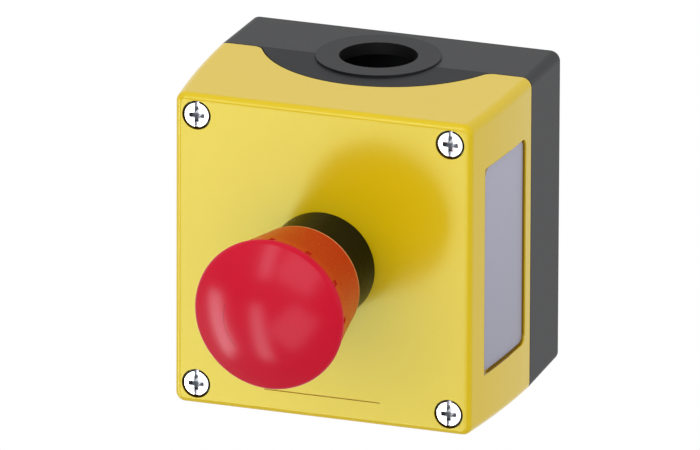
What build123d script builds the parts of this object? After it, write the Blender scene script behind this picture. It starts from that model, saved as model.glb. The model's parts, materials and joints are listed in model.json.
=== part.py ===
from build123d import *
import os
from math import acos, asin, cos, pi, sin, sqrt

# Surface-mounted emergency stop station: a two-part plastic case on a wall, a mushroom button that
# latches when pressed and unlatches when turned, and two break contacts that its plunger opens.
#
# Frame: millimetres, +Z up, +X to the right of someone facing the button. The wall plane is y = 0 and
# the button points to -Y. A depth is a distance from the wall, so a point at depth d has y = -d.

# --- Case: overall sizes ------------------------------------------------------------------------
SEAM_WIDTH = 85.0           # widest section, where base and cover meet
SEAM_HEIGHT = 85.0
BASE_DRAFT = 0.4            # the base's sides draw in by this much to the wall
SIDE_CURVE = 2.6            # the cover's sides curve in by this much to the front
TOP_SLOPE = 0.65            # its top and bottom slope in by this much
BASE_DEPTH = 24.1           # depth of the seam
CASE_DEPTH = 64.0           # depth of the cover's front face
CORNER_RADIUS = 2.6         # long edges of the case
FRONT_EDGE_RADIUS = 1.8
BACK_EDGE_CHAMFER = 0.6

# --- Case: walls --------------------------------------------------------------------------------
COVER_WALL = 2.6
FRONT_WALL = 3.0
FLOOR = 3.0                 # back wall of the base
BASE_SIDE_WALL = 3.2
BASE_TOP_WALL = 2.9         # also the thickness of the tongues
INNER_CORNER = 1.2
SEAM_GAP = 0.35             # shadow line between base and cover

# --- Tongues: the base runs forward over the middle of the top and bottom -------------------------
TONGUE_RADIUS = 33.5
TONGUE_CENTRE_DEPTH = 10.4
TONGUE_ROOT_RADIUS = 3.5

# --- Sealing ring in the cover's edge -----------------------------------------------------------
GASKET_INSET = 1.1          # from the case's outside
GASKET_WIDTH = 1.0
GASKET_HEIGHT = 1.2
GASKET_CLEARANCE = 0.03

# --- Cable entries, one in each tongue ----------------------------------------------------------
ENTRY_RADIUS = 10.15        # clearance hole for an M20 gland
ENTRY_BEHIND_SEAM = 2.8
ENTRY_PAD_WIDTH = 6.05      # flat ring round the hole for the gland's seal
ENTRY_PAD_RISE = 0.35       # above the seam's top line

# --- Cover screws -------------------------------------------------------------------------------
SCREW_SIDE_INSET = 8.3      # from the seam's side line to the screw's axis
SCREW_TOP_INSET = 6.2
SCREW_HEAD_RADIUS = 3.36
SCREW_HEAD_HEIGHT = 2.6
SCREW_HEAD_SUNK = 0.1       # below the cover's face
SCREW_SHANK_RADIUS = 2.0
COUNTERBORE_CLEARANCE = 0.52
SCREW_HOLE_CLEARANCE = 0.2
THREAD_CLEARANCE = 0.05
SCREW_GRIP = 14.0           # length of shank inside the base's post
POST_WALL = 2.55
COLUMN_WALL = 3.0
DRIVE_SLOT_WIDTH = 0.84
DRIVE_SLOT_DEPTH = 0.9
DRIVE_CROSS_LENGTH = 4.1
DRIVE_CROSS_WIDTH = 1.15
DRIVE_CROSS_DEPTH = 1.7

# --- Wall fixing --------------------------------------------------------------------------------
WALL_HOLE_RADIUS = 2.6
WALL_HOLE_SIDE_INSET = 17.5  # from the seam's side line to the hole's axis
WALL_HOLE_TOP_INSET = 10.5
WALL_BOSS_WALL = 2.4
WALL_BOSS_HEIGHT = 2.0

# --- Side label ---------------------------------------------------------------------------------
LABEL_LENGTH = 55.6         # along Z
LABEL_WIDTH = 27.5          # along the depth
LABEL_FROM_SEAM = 4.0
LABEL_CORNER = 2.5
LABEL_RECESS = 1.2
LABEL_THICKNESS = 0.4
LABEL_CLEARANCE = 0.5

# --- Engraved line on the front -----------------------------------------------------------------
LINE_LENGTH = 31.3
LINE_WIDTH = 0.4
LINE_BOTTOM_INSET = 7.0     # from the seam's bottom line
LINE_CUT = 0.35

# --- Motion -------------------------------------------------------------------------------------
PRESS_TRAVEL = 6.0
PIN_TRAVEL = 0.8            # each latch pin goes in by this much over the press

# --- Clearances of moving pieces ----------------------------------------------------------------
RUNNING_CLEARANCE = 0.06    # stem in its guides, hub on the stem
GUIDE_CLEARANCE = 0.1       # contact plungers, and pieces that drop into a recess
SKIRT_CLEARANCE = 0.35      # skirt over the collar
PLATE_CLEARANCE = 0.6       # spring plate in the collar
PLUNGER_OVERRUN = 0.5       # left between foot and contact blocks when pressed

# --- Actuator: fixed collar with its barrel through the cover -----------------------------------
DEVICE_HOLE_RADIUS = 11.15  # 22.3 mm standard hole
DEVICE_HOLE_CLEARANCE = 0.15
BARREL_WALL = 1.4
BARREL_LENGTH = 13.0        # behind the cover's face
COLLAR_RADIUS = 14.15
COLLAR_WALL = 1.55
COLLAR_LENGTH = 24.0        # in front of the cover
COLLAR_LEDGE = 3.0          # from the cover's face to the ledge inside the collar
COLLAR_EDGE = 0.4
SEAL_BARREL_GAP = 0.5
SEAL_WIDTH = 1.9
SEAL_THICKNESS = 1.0

# --- Holder that clamps the barrel behind the cover ---------------------------------------------
HOLDER_WIDTH = 34.0
HOLDER_HEIGHT = 44.0
HOLDER_CORNER = 4.0
HOLDER_SCREW_INSET = 5.0
HOLDER_SCREW_RADIUS = 1.5
HOLDER_SCREW_HEAD_RADIUS = 2.7
HOLDER_SCREW_HEAD_HEIGHT = 2.2

# --- Stem and what is on it ---------------------------------------------------------------------
STEM_RADIUS = 4.0
SPIGOT_STEP = 1.0
SPIGOT_TAIL = 2.0           # behind the foot
FOOT_OVERHANG = 3.5         # past the contact plungers
FOOT_HEIGHT = 12.0
FOOT_THICKNESS = 3.5
FOOT_CORNER = 3.0
CLIP_THICKNESS = 0.8
CLIP_WIDTH = 2.3
CLIP_GROOVE = 0.75
CLIP_PLAY = 0.05
SPRING_PLATE_THICKNESS = 2.0
SPRING_PLATE_FRONT = 30.0   # in front of the cover

# --- Latch sleeve, guide bush and pins ----------------------------------------------------------
SLEEVE_FLANGE_WIDTH = 0.4
SLEEVE_FLANGE_THICKNESS = 1.0
SLEEVE_FRONT_WALL = 2.5
BUSH_THICKNESS = 2.4
PIN_BEHIND_FACE = 2.0       # pin axis at rest, behind the cover's face
PIN_RADIUS = 1.2
PIN_TIP = 7.2               # tip from the button's axis at rest
PIN_TAIL = 2.6
PIN_CLEARANCE = 0.03
CONE_CLEARANCE = 0.15
LATCH_GROOVE_CUT = 0.4      # past the pins' tips
LATCH_GROOVE_LENGTH = 4.2

# --- Head: hub, skirt and cap -------------------------------------------------------------------
CAP_RADIUS = 20.0
CAP_BACK = 40.3             # in front of the cover
CAP_CROWN_RADIUS = 36.6     # dome of the cap
CAP_SHOULDER_RADIUS = 2.0   # rounds the dome into the rim
CAP_SHOULDER_BEHIND = 0.2   # from the cap's back to the middle of that rounding
CAP_WALL = 1.6
CAP_RIM_RADIUS = 0.25
SKIRT_BACK = 16.4           # in front of the cover
SKIRT_WAIST = 11.6          # from the skirt's back edge
SKIRT_WAIST_FLARE = 1.8
SKIRT_RIM_STEP = 0.25       # inside the cap's radius
SKIRT_RIM_GAP = 0.2
SKIRT_WALL = 1.3
SKIRT_LIP = 0.6
NOTCH_COUNT = 12
NOTCH_WIDTH = 1.4
NOTCH_LENGTH = 2.2
NOTCH_CUT = 0.35
HUB_BOSS_WALL = 3.14
HUB_DISC_THICKNESS = 1.8
HUB_RIM = 1.35              # from the hub's disc to the skirt's rim
HUB_GAP = 0.4               # to the spring plate
HUB_PLAY = 0.15
HUB_BOSS_FRONT = 1.5        # from the cap's back to the stem's front
HUB_SCREW_HEAD_RADIUS = 3.6
HUB_SCREW_HEAD_HEIGHT = 2.2
HUB_SCREW_RADIUS = 1.6
HUB_SCREW_LENGTH = 8.0
WASHER_RADIUS = 6.5
WASHER_THICKNESS = 0.8

# --- Springs ------------------------------------------------------------------------------------
SPRING_SEAT_GAP = 0.05
RETURN_SPRING_WIRE = 1.3
RETURN_SPRING_TURNS = 6
RETURN_SPRING_CLEARANCE = 1.05
TURN_SPRING_WIRE = 1.0
TURN_SPRING_TURNS = 4
TURN_SPRING_CLEARANCE = 0.9
CONTACT_SPRING_WIRE = 0.6
CONTACT_SPRING_TURNS = 7
CONTACT_SPRING_CLEARANCE = 1.0
LATCH_SPRING_RADIUS = 0.8
LATCH_SPRING_WIRE = 0.3
LATCH_SPRING_TURNS = 6

# --- Contact blocks on their carrier ------------------------------------------------------------
BLOCK_X = 11.0
BLOCK_HEIGHT = 38.0
BLOCK_WALL = 1.5
BLOCK_END_WALL = 1.0
BLOCK_FLOOR = 3.0
BLOCK_FRONT_WALL = 8.0      # length of the plunger's guide
LID_THICKNESS = 1.2
CARRIER_THICKNESS = 3.0
CARRIER_MARGIN = 2.0
CARRIER_CORNER = 2.0
CARRIER_LIP_HEIGHT = 1.8
CARRIER_LIP_WIDTH = 2.4
CARRIER_SCREW_Z = 11.0
CARRIER_SCREW_RADIUS = 1.5
CARRIER_SCREW_HEAD_RADIUS = 2.9
CARRIER_SCREW_HEAD_HEIGHT = 2.0
CARRIER_SCREW_BITE = 2.0    # into the floor
PLUNGER_WIDTH = 5.0
PLUNGER_HEIGHT = 8.0
PLUNGER_NECK_STEP = 0.3     # on each side
PLUNGER_NECK_HEIGHT = 6.0
PLUNGER_PIN_RADIUS = 1.3
PLUNGER_PIN_LENGTH = 6.0
STRIP_BEHIND_GUIDE = 6.0
STRIP_THICKNESS = 1.0
STRIP_WIDTH = 5.0
STRIP_GAP = 0.4             # from the plunger's neck
NECK_CLEARANCE = 0.5        # to the fixed strips when pressed
RIVET_RADIUS = 1.5
RIVET_HEIGHT = 0.8
RIVET_FROM_END = 1.6
BRIDGE_THICKNESS = 0.8
BRIDGE_END = 2.0            # past the rivets
BRIDGE_SIDE_ROOM = 1.5
CLAMP_WIDTH = 6.6
CLAMP_HEIGHT = 7.2
CLAMP_LENGTH = 5.5
CLAMP_SIDE_ROOM = 0.2
CLAMP_END_ROOM = 0.4
WIRE_HOLE_RADIUS = 1.6
TERMINAL_SCREW_RADIUS = 1.25
TERMINAL_SCREW_HEAD_RADIUS = 2.5
TERMINAL_SCREW_HEAD_HEIGHT = 2.0

# --- Places worked out from the sizes above -----------------------------------------------------
BACK_WIDTH = SEAM_WIDTH - 2 * BASE_DRAFT
BACK_HEIGHT = SEAM_HEIGHT - 2 * BASE_DRAFT
INNER_WIDTH = SEAM_WIDTH - 2 * BASE_SIDE_WALL
INNER_HEIGHT = SEAM_HEIGHT - 2 * BASE_TOP_WALL
COVER_INSIDE_DEPTH = CASE_DEPTH - FRONT_WALL
ENTRY_DEPTH = BASE_DEPTH - ENTRY_BEHIND_SEAM
ENTRY_PAD_RADIUS = ENTRY_RADIUS + ENTRY_PAD_WIDTH
COVER_SCREW_X = SEAM_WIDTH / 2 - SCREW_SIDE_INSET
COVER_SCREW_Z = SEAM_HEIGHT / 2 - SCREW_TOP_INSET
COUNTERBORE_RADIUS = SCREW_HEAD_RADIUS + COUNTERBORE_CLEARANCE
SCREW_HEAD_FRONT = CASE_DEPTH - SCREW_HEAD_SUNK
HEAD_SEAT_DEPTH = SCREW_HEAD_FRONT - SCREW_HEAD_HEIGHT
POST_RADIUS = SCREW_SHANK_RADIUS + THREAD_CLEARANCE + POST_WALL
COLUMN_RADIUS = SCREW_SHANK_RADIUS + SCREW_HOLE_CLEARANCE + COLUMN_WALL
WALL_HOLE_X = SEAM_WIDTH / 2 - WALL_HOLE_SIDE_INSET
WALL_HOLE_Z = SEAM_HEIGHT / 2 - WALL_HOLE_TOP_INSET
LABEL_DEPTH = BASE_DEPTH + LABEL_FROM_SEAM + LABEL_WIDTH / 2
LINE_Z = LINE_BOTTOM_INSET - SEAM_HEIGHT / 2

BARREL_RADIUS = DEVICE_HOLE_RADIUS - DEVICE_HOLE_CLEARANCE
BARREL_BORE = BARREL_RADIUS - BARREL_WALL
BARREL_BACK_DEPTH = CASE_DEPTH - BARREL_LENGTH
COLLAR_BORE = COLLAR_RADIUS - COLLAR_WALL
COLLAR_FRONT_DEPTH = CASE_DEPTH + COLLAR_LENGTH
LEDGE_DEPTH = CASE_DEPTH + COLLAR_LEDGE
SEAL_INNER = BARREL_RADIUS + SEAL_BARREL_GAP
SEAL_OUTER = SEAL_INNER + SEAL_WIDTH
HOLDER_SCREW_Z = HOLDER_HEIGHT / 2 - HOLDER_SCREW_INSET

SPIGOT_RADIUS = STEM_RADIUS - SPIGOT_STEP
FOOT_BACK_DEPTH = BARREL_BACK_DEPTH - FOOT_THICKNESS
FOOT_WIDTH = 2 * (BLOCK_X + PLUNGER_WIDTH / 2 + FOOT_OVERHANG)
SPIGOT_BACK_DEPTH = FOOT_BACK_DEPTH - SPIGOT_TAIL
CLIP_SEAT_RADIUS = SPIGOT_RADIUS - CLIP_GROOVE
CLIP_FRONT_DEPTH = FOOT_BACK_DEPTH - CLIP_PLAY
CLIP_BACK_DEPTH = CLIP_FRONT_DEPTH - CLIP_THICKNESS
SPRING_PLATE_RADIUS = COLLAR_BORE - PLATE_CLEARANCE
PLATE_FRONT_DEPTH = CASE_DEPTH + SPRING_PLATE_FRONT
SPRING_PLATE_DEPTH = PLATE_FRONT_DEPTH - SPRING_PLATE_THICKNESS

SLEEVE_RADIUS = BARREL_BORE - GUIDE_CLEARANCE
SLEEVE_FLANGE_RADIUS = BARREL_BORE + SLEEVE_FLANGE_WIDTH
SLEEVE_FRONT_DEPTH = LEDGE_DEPTH + SLEEVE_FLANGE_THICKNESS
PIN_DEPTH = CASE_DEPTH - PIN_BEHIND_FACE
LATCH_GROOVE_RADIUS = PIN_TIP + LATCH_GROOVE_CUT

CAP_BACK_DEPTH = CASE_DEPTH + CAP_BACK
SHOULDER_DEPTH = CAP_BACK_DEPTH - CAP_SHOULDER_BEHIND
SHOULDER_MIDDLE = CAP_RADIUS - sqrt(CAP_SHOULDER_RADIUS ** 2 - CAP_SHOULDER_BEHIND ** 2)
CROWN_TO_SHOULDER = CAP_CROWN_RADIUS - CAP_SHOULDER_RADIUS
CROWN_DEPTH = SHOULDER_DEPTH - sqrt(CROWN_TO_SHOULDER ** 2 - SHOULDER_MIDDLE ** 2)
SKIRT_INNER_RADIUS = COLLAR_RADIUS + SKIRT_CLEARANCE
SKIRT_BACK_RADIUS = SKIRT_INNER_RADIUS + SKIRT_WALL
SKIRT_BACK_DEPTH = CASE_DEPTH + SKIRT_BACK
SKIRT_WAIST_RADIUS = SKIRT_BACK_RADIUS + SKIRT_WAIST_FLARE
SKIRT_WAIST_DEPTH = SKIRT_BACK_DEPTH + SKIRT_WAIST
SKIRT_RIM_RADIUS = CAP_RADIUS - SKIRT_RIM_STEP
SKIRT_RIM_DEPTH = CAP_BACK_DEPTH - SKIRT_RIM_GAP
HUB_DISC_RADIUS = SKIRT_RIM_RADIUS - HUB_RIM
HUB_BOSS_RADIUS = STEM_RADIUS + RUNNING_CLEARANCE + HUB_BOSS_WALL
HUB_BACK_DEPTH = PLATE_FRONT_DEPTH + HUB_GAP
DISC_BACK_DEPTH = CAP_BACK_DEPTH - HUB_DISC_THICKNESS
STEM_FRONT_DEPTH = CAP_BACK_DEPTH + HUB_BOSS_FRONT
HUB_FRONT_DEPTH = STEM_FRONT_DEPTH - HUB_PLAY

RETURN_SPRING_RADIUS = COLLAR_BORE - RETURN_SPRING_CLEARANCE - RETURN_SPRING_WIRE / 2
TURN_SPRING_RADIUS = HUB_BOSS_RADIUS + TURN_SPRING_CLEARANCE + TURN_SPRING_WIRE / 2
CONTACT_SPRING_RADIUS = PLUNGER_PIN_RADIUS + CONTACT_SPRING_CLEARANCE + CONTACT_SPRING_WIRE / 2

POCKET_WIDTH = CLAMP_WIDTH + 2 * CLAMP_SIDE_ROOM
POCKET_HEIGHT = CLAMP_HEIGHT + 2 * CLAMP_END_ROOM
BLOCK_WIDTH = POCKET_WIDTH + 2 * BLOCK_WALL
TERMINAL_Z = BLOCK_HEIGHT / 2 - BLOCK_END_WALL - POCKET_HEIGHT / 2
CARRIER_WIDTH = 2 * (BLOCK_X + BLOCK_WIDTH / 2 + CARRIER_MARGIN)
CARRIER_HEIGHT = BLOCK_HEIGHT + 2 * (GUIDE_CLEARANCE + CARRIER_LIP_WIDTH)
BLOCK_BACK_DEPTH = FLOOR + CARRIER_THICKNESS
BLOCK_FRONT_DEPTH = FOOT_BACK_DEPTH - PRESS_TRAVEL - PLUNGER_OVERRUN
CHAMBER_BACK_DEPTH = BLOCK_BACK_DEPTH + BLOCK_FLOOR
CHAMBER_FRONT_DEPTH = BLOCK_FRONT_DEPTH - BLOCK_FRONT_WALL
STRIP_DEPTH = CHAMBER_FRONT_DEPTH - STRIP_BEHIND_GUIDE
STRIP_END_Z = PLUNGER_NECK_HEIGHT / 2 + STRIP_GAP
RIVET_Z = STRIP_END_Z + RIVET_FROM_END
RIVET_FACE_DEPTH = STRIP_DEPTH - RIVET_HEIGHT
BRIDGE_FRONT_DEPTH = RIVET_FACE_DEPTH - RIVET_HEIGHT
BRIDGE_BACK_DEPTH = BRIDGE_FRONT_DEPTH - BRIDGE_THICKNESS
BRIDGE_HALF_LENGTH = RIVET_Z + BRIDGE_END
CHAMBER_HEIGHT = 2 * (BRIDGE_HALF_LENGTH + BRIDGE_SIDE_ROOM)
CLAMP_BACK_DEPTH = STRIP_DEPTH - CLAMP_LENGTH
WIRE_DEPTH = STRIP_DEPTH - CLAMP_LENGTH / 2


# --- Small helpers -----------------------------------------------------------------------------------
def facing(depth, x=0.0, z=0.0):
    """Plane parallel to the wall at a depth, seen from the front: its x is +X and its y is +Z."""
    return Plane(origin=(x, -depth, z), x_dir=(1, 0, 0), z_dir=(0, -1, 0))


def rod(radius, back, front, x=0.0, z=0.0):
    """Round bar along the button's axis between two depths."""
    return extrude(facing(back, x, z) * Circle(radius), front - back)


def bar(width, height, back, front, x=0.0, z=0.0, corner=0.0):
    """Rectangular bar between two depths, with rounded long edges if a corner radius is given."""
    outline = RectangleRounded(width, height, corner) if corner else Rectangle(width, height)
    return extrude(facing(back, x, z) * outline, front - back)


def upright(radius, low, high, depth, x=0.0):
    """Round bar along Z between two heights."""
    return extrude(Plane.XY.offset(low) * Pos(x, -depth) * Circle(radius), high - low)


def turned(*edges):
    """Solid of revolution about the button's axis from a closed outline in (radius, -depth)."""
    return revolve(make_face(Wire(list(edges))), Axis.Y)


def ring(outer, inner, back, front):
    """Flat-ended tube about the button's axis."""
    return rod(outer, back, front) - rod(inner, back, front)


def outline(*points):
    """Closed straight-sided outline from (radius, depth) corners, as edges for turned()."""
    corners = [(radius, -depth) for radius, depth in points]
    return Polyline(*corners, close=True).edges()


def mirrored_pair(solid, plane):
    """A solid and its mirror image."""
    return [solid, mirror(solid, about=plane)]


def biarc(start, start_way, end, end_way):
    """Two arcs that leave start along start_way and arrive at end along end_way."""
    chord = end - start
    along = chord.dot(start_way + end_way)
    spread = 2 * (1 - start_way.dot(end_way))
    reach = (sqrt(along * along + spread * chord.dot(chord)) - along) / spread
    joint = (start + end + (start_way - end_way) * reach) * 0.5
    first = TangentArc(start, joint, tangent=start_way)
    second = TangentArc(joint, end, tangent=first % 1)
    return [first, second]


def coil(radius, wire, turns, length):
    """Coil spring along +Z, from 0 to length over its wire, in half turns of two arcs each."""
    rise = length - wire
    half_turns = 2 * turns

    def point(step):
        angle = pi * step
        return Vector(radius * cos(angle), radius * sin(angle), wire / 2 + rise * step / half_turns)

    def way(step):
        angle = pi * step
        climb = rise / (half_turns * pi)
        return Vector(-radius * sin(angle), radius * cos(angle), climb).normalized()

    path = []
    for step in range(half_turns):
        path += biarc(point(step), way(step), point(step + 1), way(step + 1))
    section = Plane(origin=point(0), z_dir=way(0)) * Circle(wire / 2)
    return sweep(section, path=Wire(path))


def axial_coil(radius, wire, turns, back, front, x=0.0):
    """Coil spring about an axis parallel to the button's, between two seats."""
    length = front - back - 2 * SPRING_SEAT_GAP
    return facing(back + SPRING_SEAT_GAP, x) * coil(radius, wire, turns, length)


# --- Case --------------------------------------------------------------------------------------------
def tapered_block(inset):
    """The cover's form from seam to front, drawn in by an inset: sides curved, top and bottom sloped."""
    seam_x = SEAM_WIDTH / 2 - inset
    front_x = seam_x - SIDE_CURVE
    seam_z = SEAM_HEIGHT / 2 - inset
    front_z = seam_z - TOP_SLOPE
    plan = make_face(Wire([
        Line((-seam_x, -BASE_DEPTH), (seam_x, -BASE_DEPTH)),
        TangentArc((seam_x, -BASE_DEPTH), (front_x, -CASE_DEPTH), tangent=(0, -1)),
        Line((front_x, -CASE_DEPTH), (-front_x, -CASE_DEPTH)),
        TangentArc((-seam_x, -BASE_DEPTH), (-front_x, -CASE_DEPTH), tangent=(0, -1)),
    ]))
    side = make_face(Polyline(
        (-BASE_DEPTH, -seam_z), (-BASE_DEPTH, seam_z), (-CASE_DEPTH, front_z), (-CASE_DEPTH, -front_z),
        close=True,
    ))
    block = extrude(plan, SEAM_HEIGHT, both=True) & extrude(Plane.YZ * side, SEAM_WIDTH, both=True)
    long_edges = block.edges().filter_by(
        lambda edge: edge.bounding_box().size.Y > (CASE_DEPTH - BASE_DEPTH) / 2
    )
    return fillet(long_edges, max(CORNER_RADIUS - inset, INNER_CORNER))


def tongue_plan():
    """The base seen from above: everything behind the seam, and the round tongue in front of it."""
    behind = Pos(0, -BASE_DEPTH + SEAM_HEIGHT / 2) * Rectangle(2 * SEAM_WIDTH, SEAM_HEIGHT)
    tongue = Pos(0, -TONGUE_CENTRE_DEPTH) * Circle(TONGUE_RADIUS)
    plan = behind + tongue
    roots = [
        corner for corner in plan.vertices()
        if abs(corner.Y + BASE_DEPTH) < SEAM_GAP and abs(corner.X) < TONGUE_RADIUS
    ]
    return fillet(roots, TONGUE_ROOT_RADIUS)


def upper_and_lower(half_height):
    """Space above and below the inside of the case, from a given height outwards."""
    slab = Pos(0, -CASE_DEPTH / 2, half_height) * Box(
        2 * SEAM_WIDTH, 2 * CASE_DEPTH, SEAM_HEIGHT, align=(Align.CENTER, Align.CENTER, Align.MIN)
    )
    return Part() + mirrored_pair(slab, Plane.XY)


def seal_tube(clearance=0.0):
    """Square tube along the depth, inside the case's wall, that the sealing ring lies in."""
    outer_width = SEAM_WIDTH - 2 * GASKET_INSET
    outer_height = SEAM_HEIGHT - 2 * GASKET_INSET
    outer_corner = CORNER_RADIUS - GASKET_INSET
    grow = 2 * clearance
    outside = bar(
        outer_width + grow, outer_height + grow, 0, CASE_DEPTH, corner=outer_corner + clearance
    )
    inside = bar(
        outer_width - 2 * GASKET_WIDTH - grow, outer_height - 2 * GASKET_WIDTH - grow,
        0, CASE_DEPTH, corner=outer_corner - GASKET_WIDTH,
    )
    return outside - inside


def seal_band(clearance=0.0):
    """Space in front of the base's edge that the sealing ring fills."""
    plan = tongue_plan()
    band = offset(plan, GASKET_HEIGHT + clearance) - plan
    return extrude(band, SEAM_HEIGHT, both=True) & seal_tube(clearance)


def screw_places(x, z):
    """The four corners of a rectangle of fasteners."""
    return [(sx * x, sz * z) for sx in (-1, 1) for sz in (-1, 1)]


def enclosure_base():
    edge = BACK_EDGE_CHAMFER
    foot = facing(0) * RectangleRounded(BACK_WIDTH - 2 * edge, BACK_HEIGHT - 2 * edge, CORNER_RADIUS - edge)
    back = facing(edge) * RectangleRounded(BACK_WIDTH, BACK_HEIGHT, CORNER_RADIUS)
    seam = facing(BASE_DEPTH) * RectangleRounded(SEAM_WIDTH, SEAM_HEIGHT, CORNER_RADIUS)
    tray = loft([foot, back, seam], ruled=True)
    tongues = (
        tapered_block(0) & extrude(tongue_plan(), SEAM_HEIGHT, both=True)
        & upper_and_lower(INNER_HEIGHT / 2)
    )
    base = tray + tongues
    pad = upright(ENTRY_PAD_RADIUS, INNER_HEIGHT / 2, SEAM_HEIGHT / 2 + ENTRY_PAD_RISE, ENTRY_DEPTH)
    base += mirrored_pair(pad, Plane.XY)
    base -= bar(INNER_WIDTH, INNER_HEIGHT, FLOOR, BASE_DEPTH, corner=INNER_CORNER)
    base -= upright(ENTRY_RADIUS, -SEAM_HEIGHT, SEAM_HEIGHT, ENTRY_DEPTH)
    for x, z in screw_places(COVER_SCREW_X, COVER_SCREW_Z):
        post = rod(POST_RADIUS, FLOOR, BASE_DEPTH, x, z)
        pilot_radius = SCREW_SHANK_RADIUS + THREAD_CLEARANCE
        post -= rod(pilot_radius, BASE_DEPTH - SCREW_GRIP, BASE_DEPTH, x, z)
        base += post
    for x, z in screw_places(WALL_HOLE_X, WALL_HOLE_Z):
        base += rod(WALL_HOLE_RADIUS + WALL_BOSS_WALL, FLOOR, FLOOR + WALL_BOSS_HEIGHT, x, z)
        base -= rod(WALL_HOLE_RADIUS, 0, FLOOR + WALL_BOSS_HEIGHT, x, z)
    for z in (-CARRIER_SCREW_Z, CARRIER_SCREW_Z):
        pilot_radius = CARRIER_SCREW_RADIUS + THREAD_CLEARANCE
        base -= rod(pilot_radius, FLOOR - CARRIER_SCREW_BITE, FLOOR, z=z)
    return base


def label_window(margin=0.0):
    """Rounded rectangle through the right-hand side wall, where the label sits."""
    plane = Plane(origin=(0, -LABEL_DEPTH, 0), x_dir=(0, -1, 0), z_dir=(1, 0, 0))
    face = RectangleRounded(
        LABEL_WIDTH - 2 * margin, LABEL_LENGTH - 2 * margin, LABEL_CORNER - margin
    )
    return extrude(plane * face, SEAM_WIDTH)


def enclosure_cover():
    block = tapered_block(0)
    front = block.faces().sort_by(Axis.Y)[0]
    block = fillet(front.edges(), FRONT_EDGE_RADIUS)
    wall = block - (tapered_block(COVER_WALL) & bar(SEAM_WIDTH, SEAM_HEIGHT, 0, COVER_INSIDE_DEPTH))
    wall -= bar(2 * SEAM_WIDTH, 2 * SEAM_HEIGHT, 0, BASE_DEPTH + SEAM_GAP)
    columns = Part()
    for x, z in screw_places(COVER_SCREW_X, COVER_SCREW_Z):
        columns += rod(COLUMN_RADIUS, BASE_DEPTH, CASE_DEPTH - FRONT_WALL / 2, x, z)
    cover = wall + (columns & block)
    cover -= (
        extrude(offset(tongue_plan(), SEAM_GAP), SEAM_HEIGHT, both=True)
        & upper_and_lower(INNER_HEIGHT / 2 - SEAM_GAP)
    )
    cover -= seal_band(GASKET_CLEARANCE)
    for x, z in screw_places(COVER_SCREW_X, COVER_SCREW_Z):
        cover -= rod(SCREW_SHANK_RADIUS + SCREW_HOLE_CLEARANCE, BASE_DEPTH, CASE_DEPTH, x, z)
        cover -= rod(COUNTERBORE_RADIUS, HEAD_SEAT_DEPTH, CASE_DEPTH, x, z)
    cover -= rod(DEVICE_HOLE_RADIUS, 0, CASE_DEPTH)
    cover -= label_window() - tapered_block(LABEL_RECESS)
    cover -= bar(LINE_LENGTH, LINE_WIDTH, CASE_DEPTH - LINE_CUT, CASE_DEPTH, z=LINE_Z)
    return cover


def cover_gasket():
    return seal_band()


def side_label():
    skin = tapered_block(LABEL_RECESS - LABEL_THICKNESS) - tapered_block(LABEL_RECESS)
    return skin & label_window(LABEL_CLEARANCE)


def cover_screws():
    screws = []
    for x, z in screw_places(COVER_SCREW_X, COVER_SCREW_Z):
        tip = BASE_DEPTH - SCREW_GRIP + SCREW_HOLE_CLEARANCE
        screw = rod(SCREW_HEAD_RADIUS, HEAD_SEAT_DEPTH, SCREW_HEAD_FRONT, x, z)
        screw += rod(SCREW_SHANK_RADIUS, tip, HEAD_SEAT_DEPTH, x, z)
        slot_floor = SCREW_HEAD_FRONT - DRIVE_SLOT_DEPTH
        cross_floor = SCREW_HEAD_FRONT - DRIVE_CROSS_DEPTH
        screw -= bar(DRIVE_SLOT_WIDTH, 2 * SCREW_HEAD_RADIUS, slot_floor, SCREW_HEAD_FRONT, x, z)
        screw -= bar(DRIVE_CROSS_LENGTH, DRIVE_CROSS_WIDTH, cross_floor, SCREW_HEAD_FRONT, x, z)
        screw -= bar(DRIVE_CROSS_WIDTH, DRIVE_CROSS_LENGTH, cross_floor, SCREW_HEAD_FRONT, x, z)
        screws.append(screw)
    return screws


# --- Actuator, fixed pieces --------------------------------------------------------------------------
def actuator_collar():
    collar = turned(*outline(
        (BARREL_BORE, BARREL_BACK_DEPTH), (BARREL_RADIUS, BARREL_BACK_DEPTH), (BARREL_RADIUS, CASE_DEPTH),
        (SEAL_INNER, CASE_DEPTH), (SEAL_INNER, CASE_DEPTH + SEAL_THICKNESS),
        (SEAL_OUTER, CASE_DEPTH + SEAL_THICKNESS), (SEAL_OUTER, CASE_DEPTH), (COLLAR_RADIUS, CASE_DEPTH),
        (COLLAR_RADIUS, COLLAR_FRONT_DEPTH), (COLLAR_BORE, COLLAR_FRONT_DEPTH), (COLLAR_BORE, LEDGE_DEPTH),
        (BARREL_BORE, LEDGE_DEPTH),
    ))
    return chamfer(collar.edges().sort_by(Axis.Y)[:2], COLLAR_EDGE)


def collar_seal():
    return ring(SEAL_OUTER, SEAL_INNER, CASE_DEPTH, CASE_DEPTH + SEAL_THICKNESS)


def mounting_holder():
    holder = bar(
        HOLDER_WIDTH, HOLDER_HEIGHT, BARREL_BACK_DEPTH, COVER_INSIDE_DEPTH, corner=HOLDER_CORNER
    )
    holder -= rod(BARREL_RADIUS + GUIDE_CLEARANCE, BARREL_BACK_DEPTH, COVER_INSIDE_DEPTH)
    tapped_radius = HOLDER_SCREW_RADIUS + THREAD_CLEARANCE
    for z in (-HOLDER_SCREW_Z, HOLDER_SCREW_Z):
        holder -= rod(tapped_radius, BARREL_BACK_DEPTH, COVER_INSIDE_DEPTH, z=z)
    return holder


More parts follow.
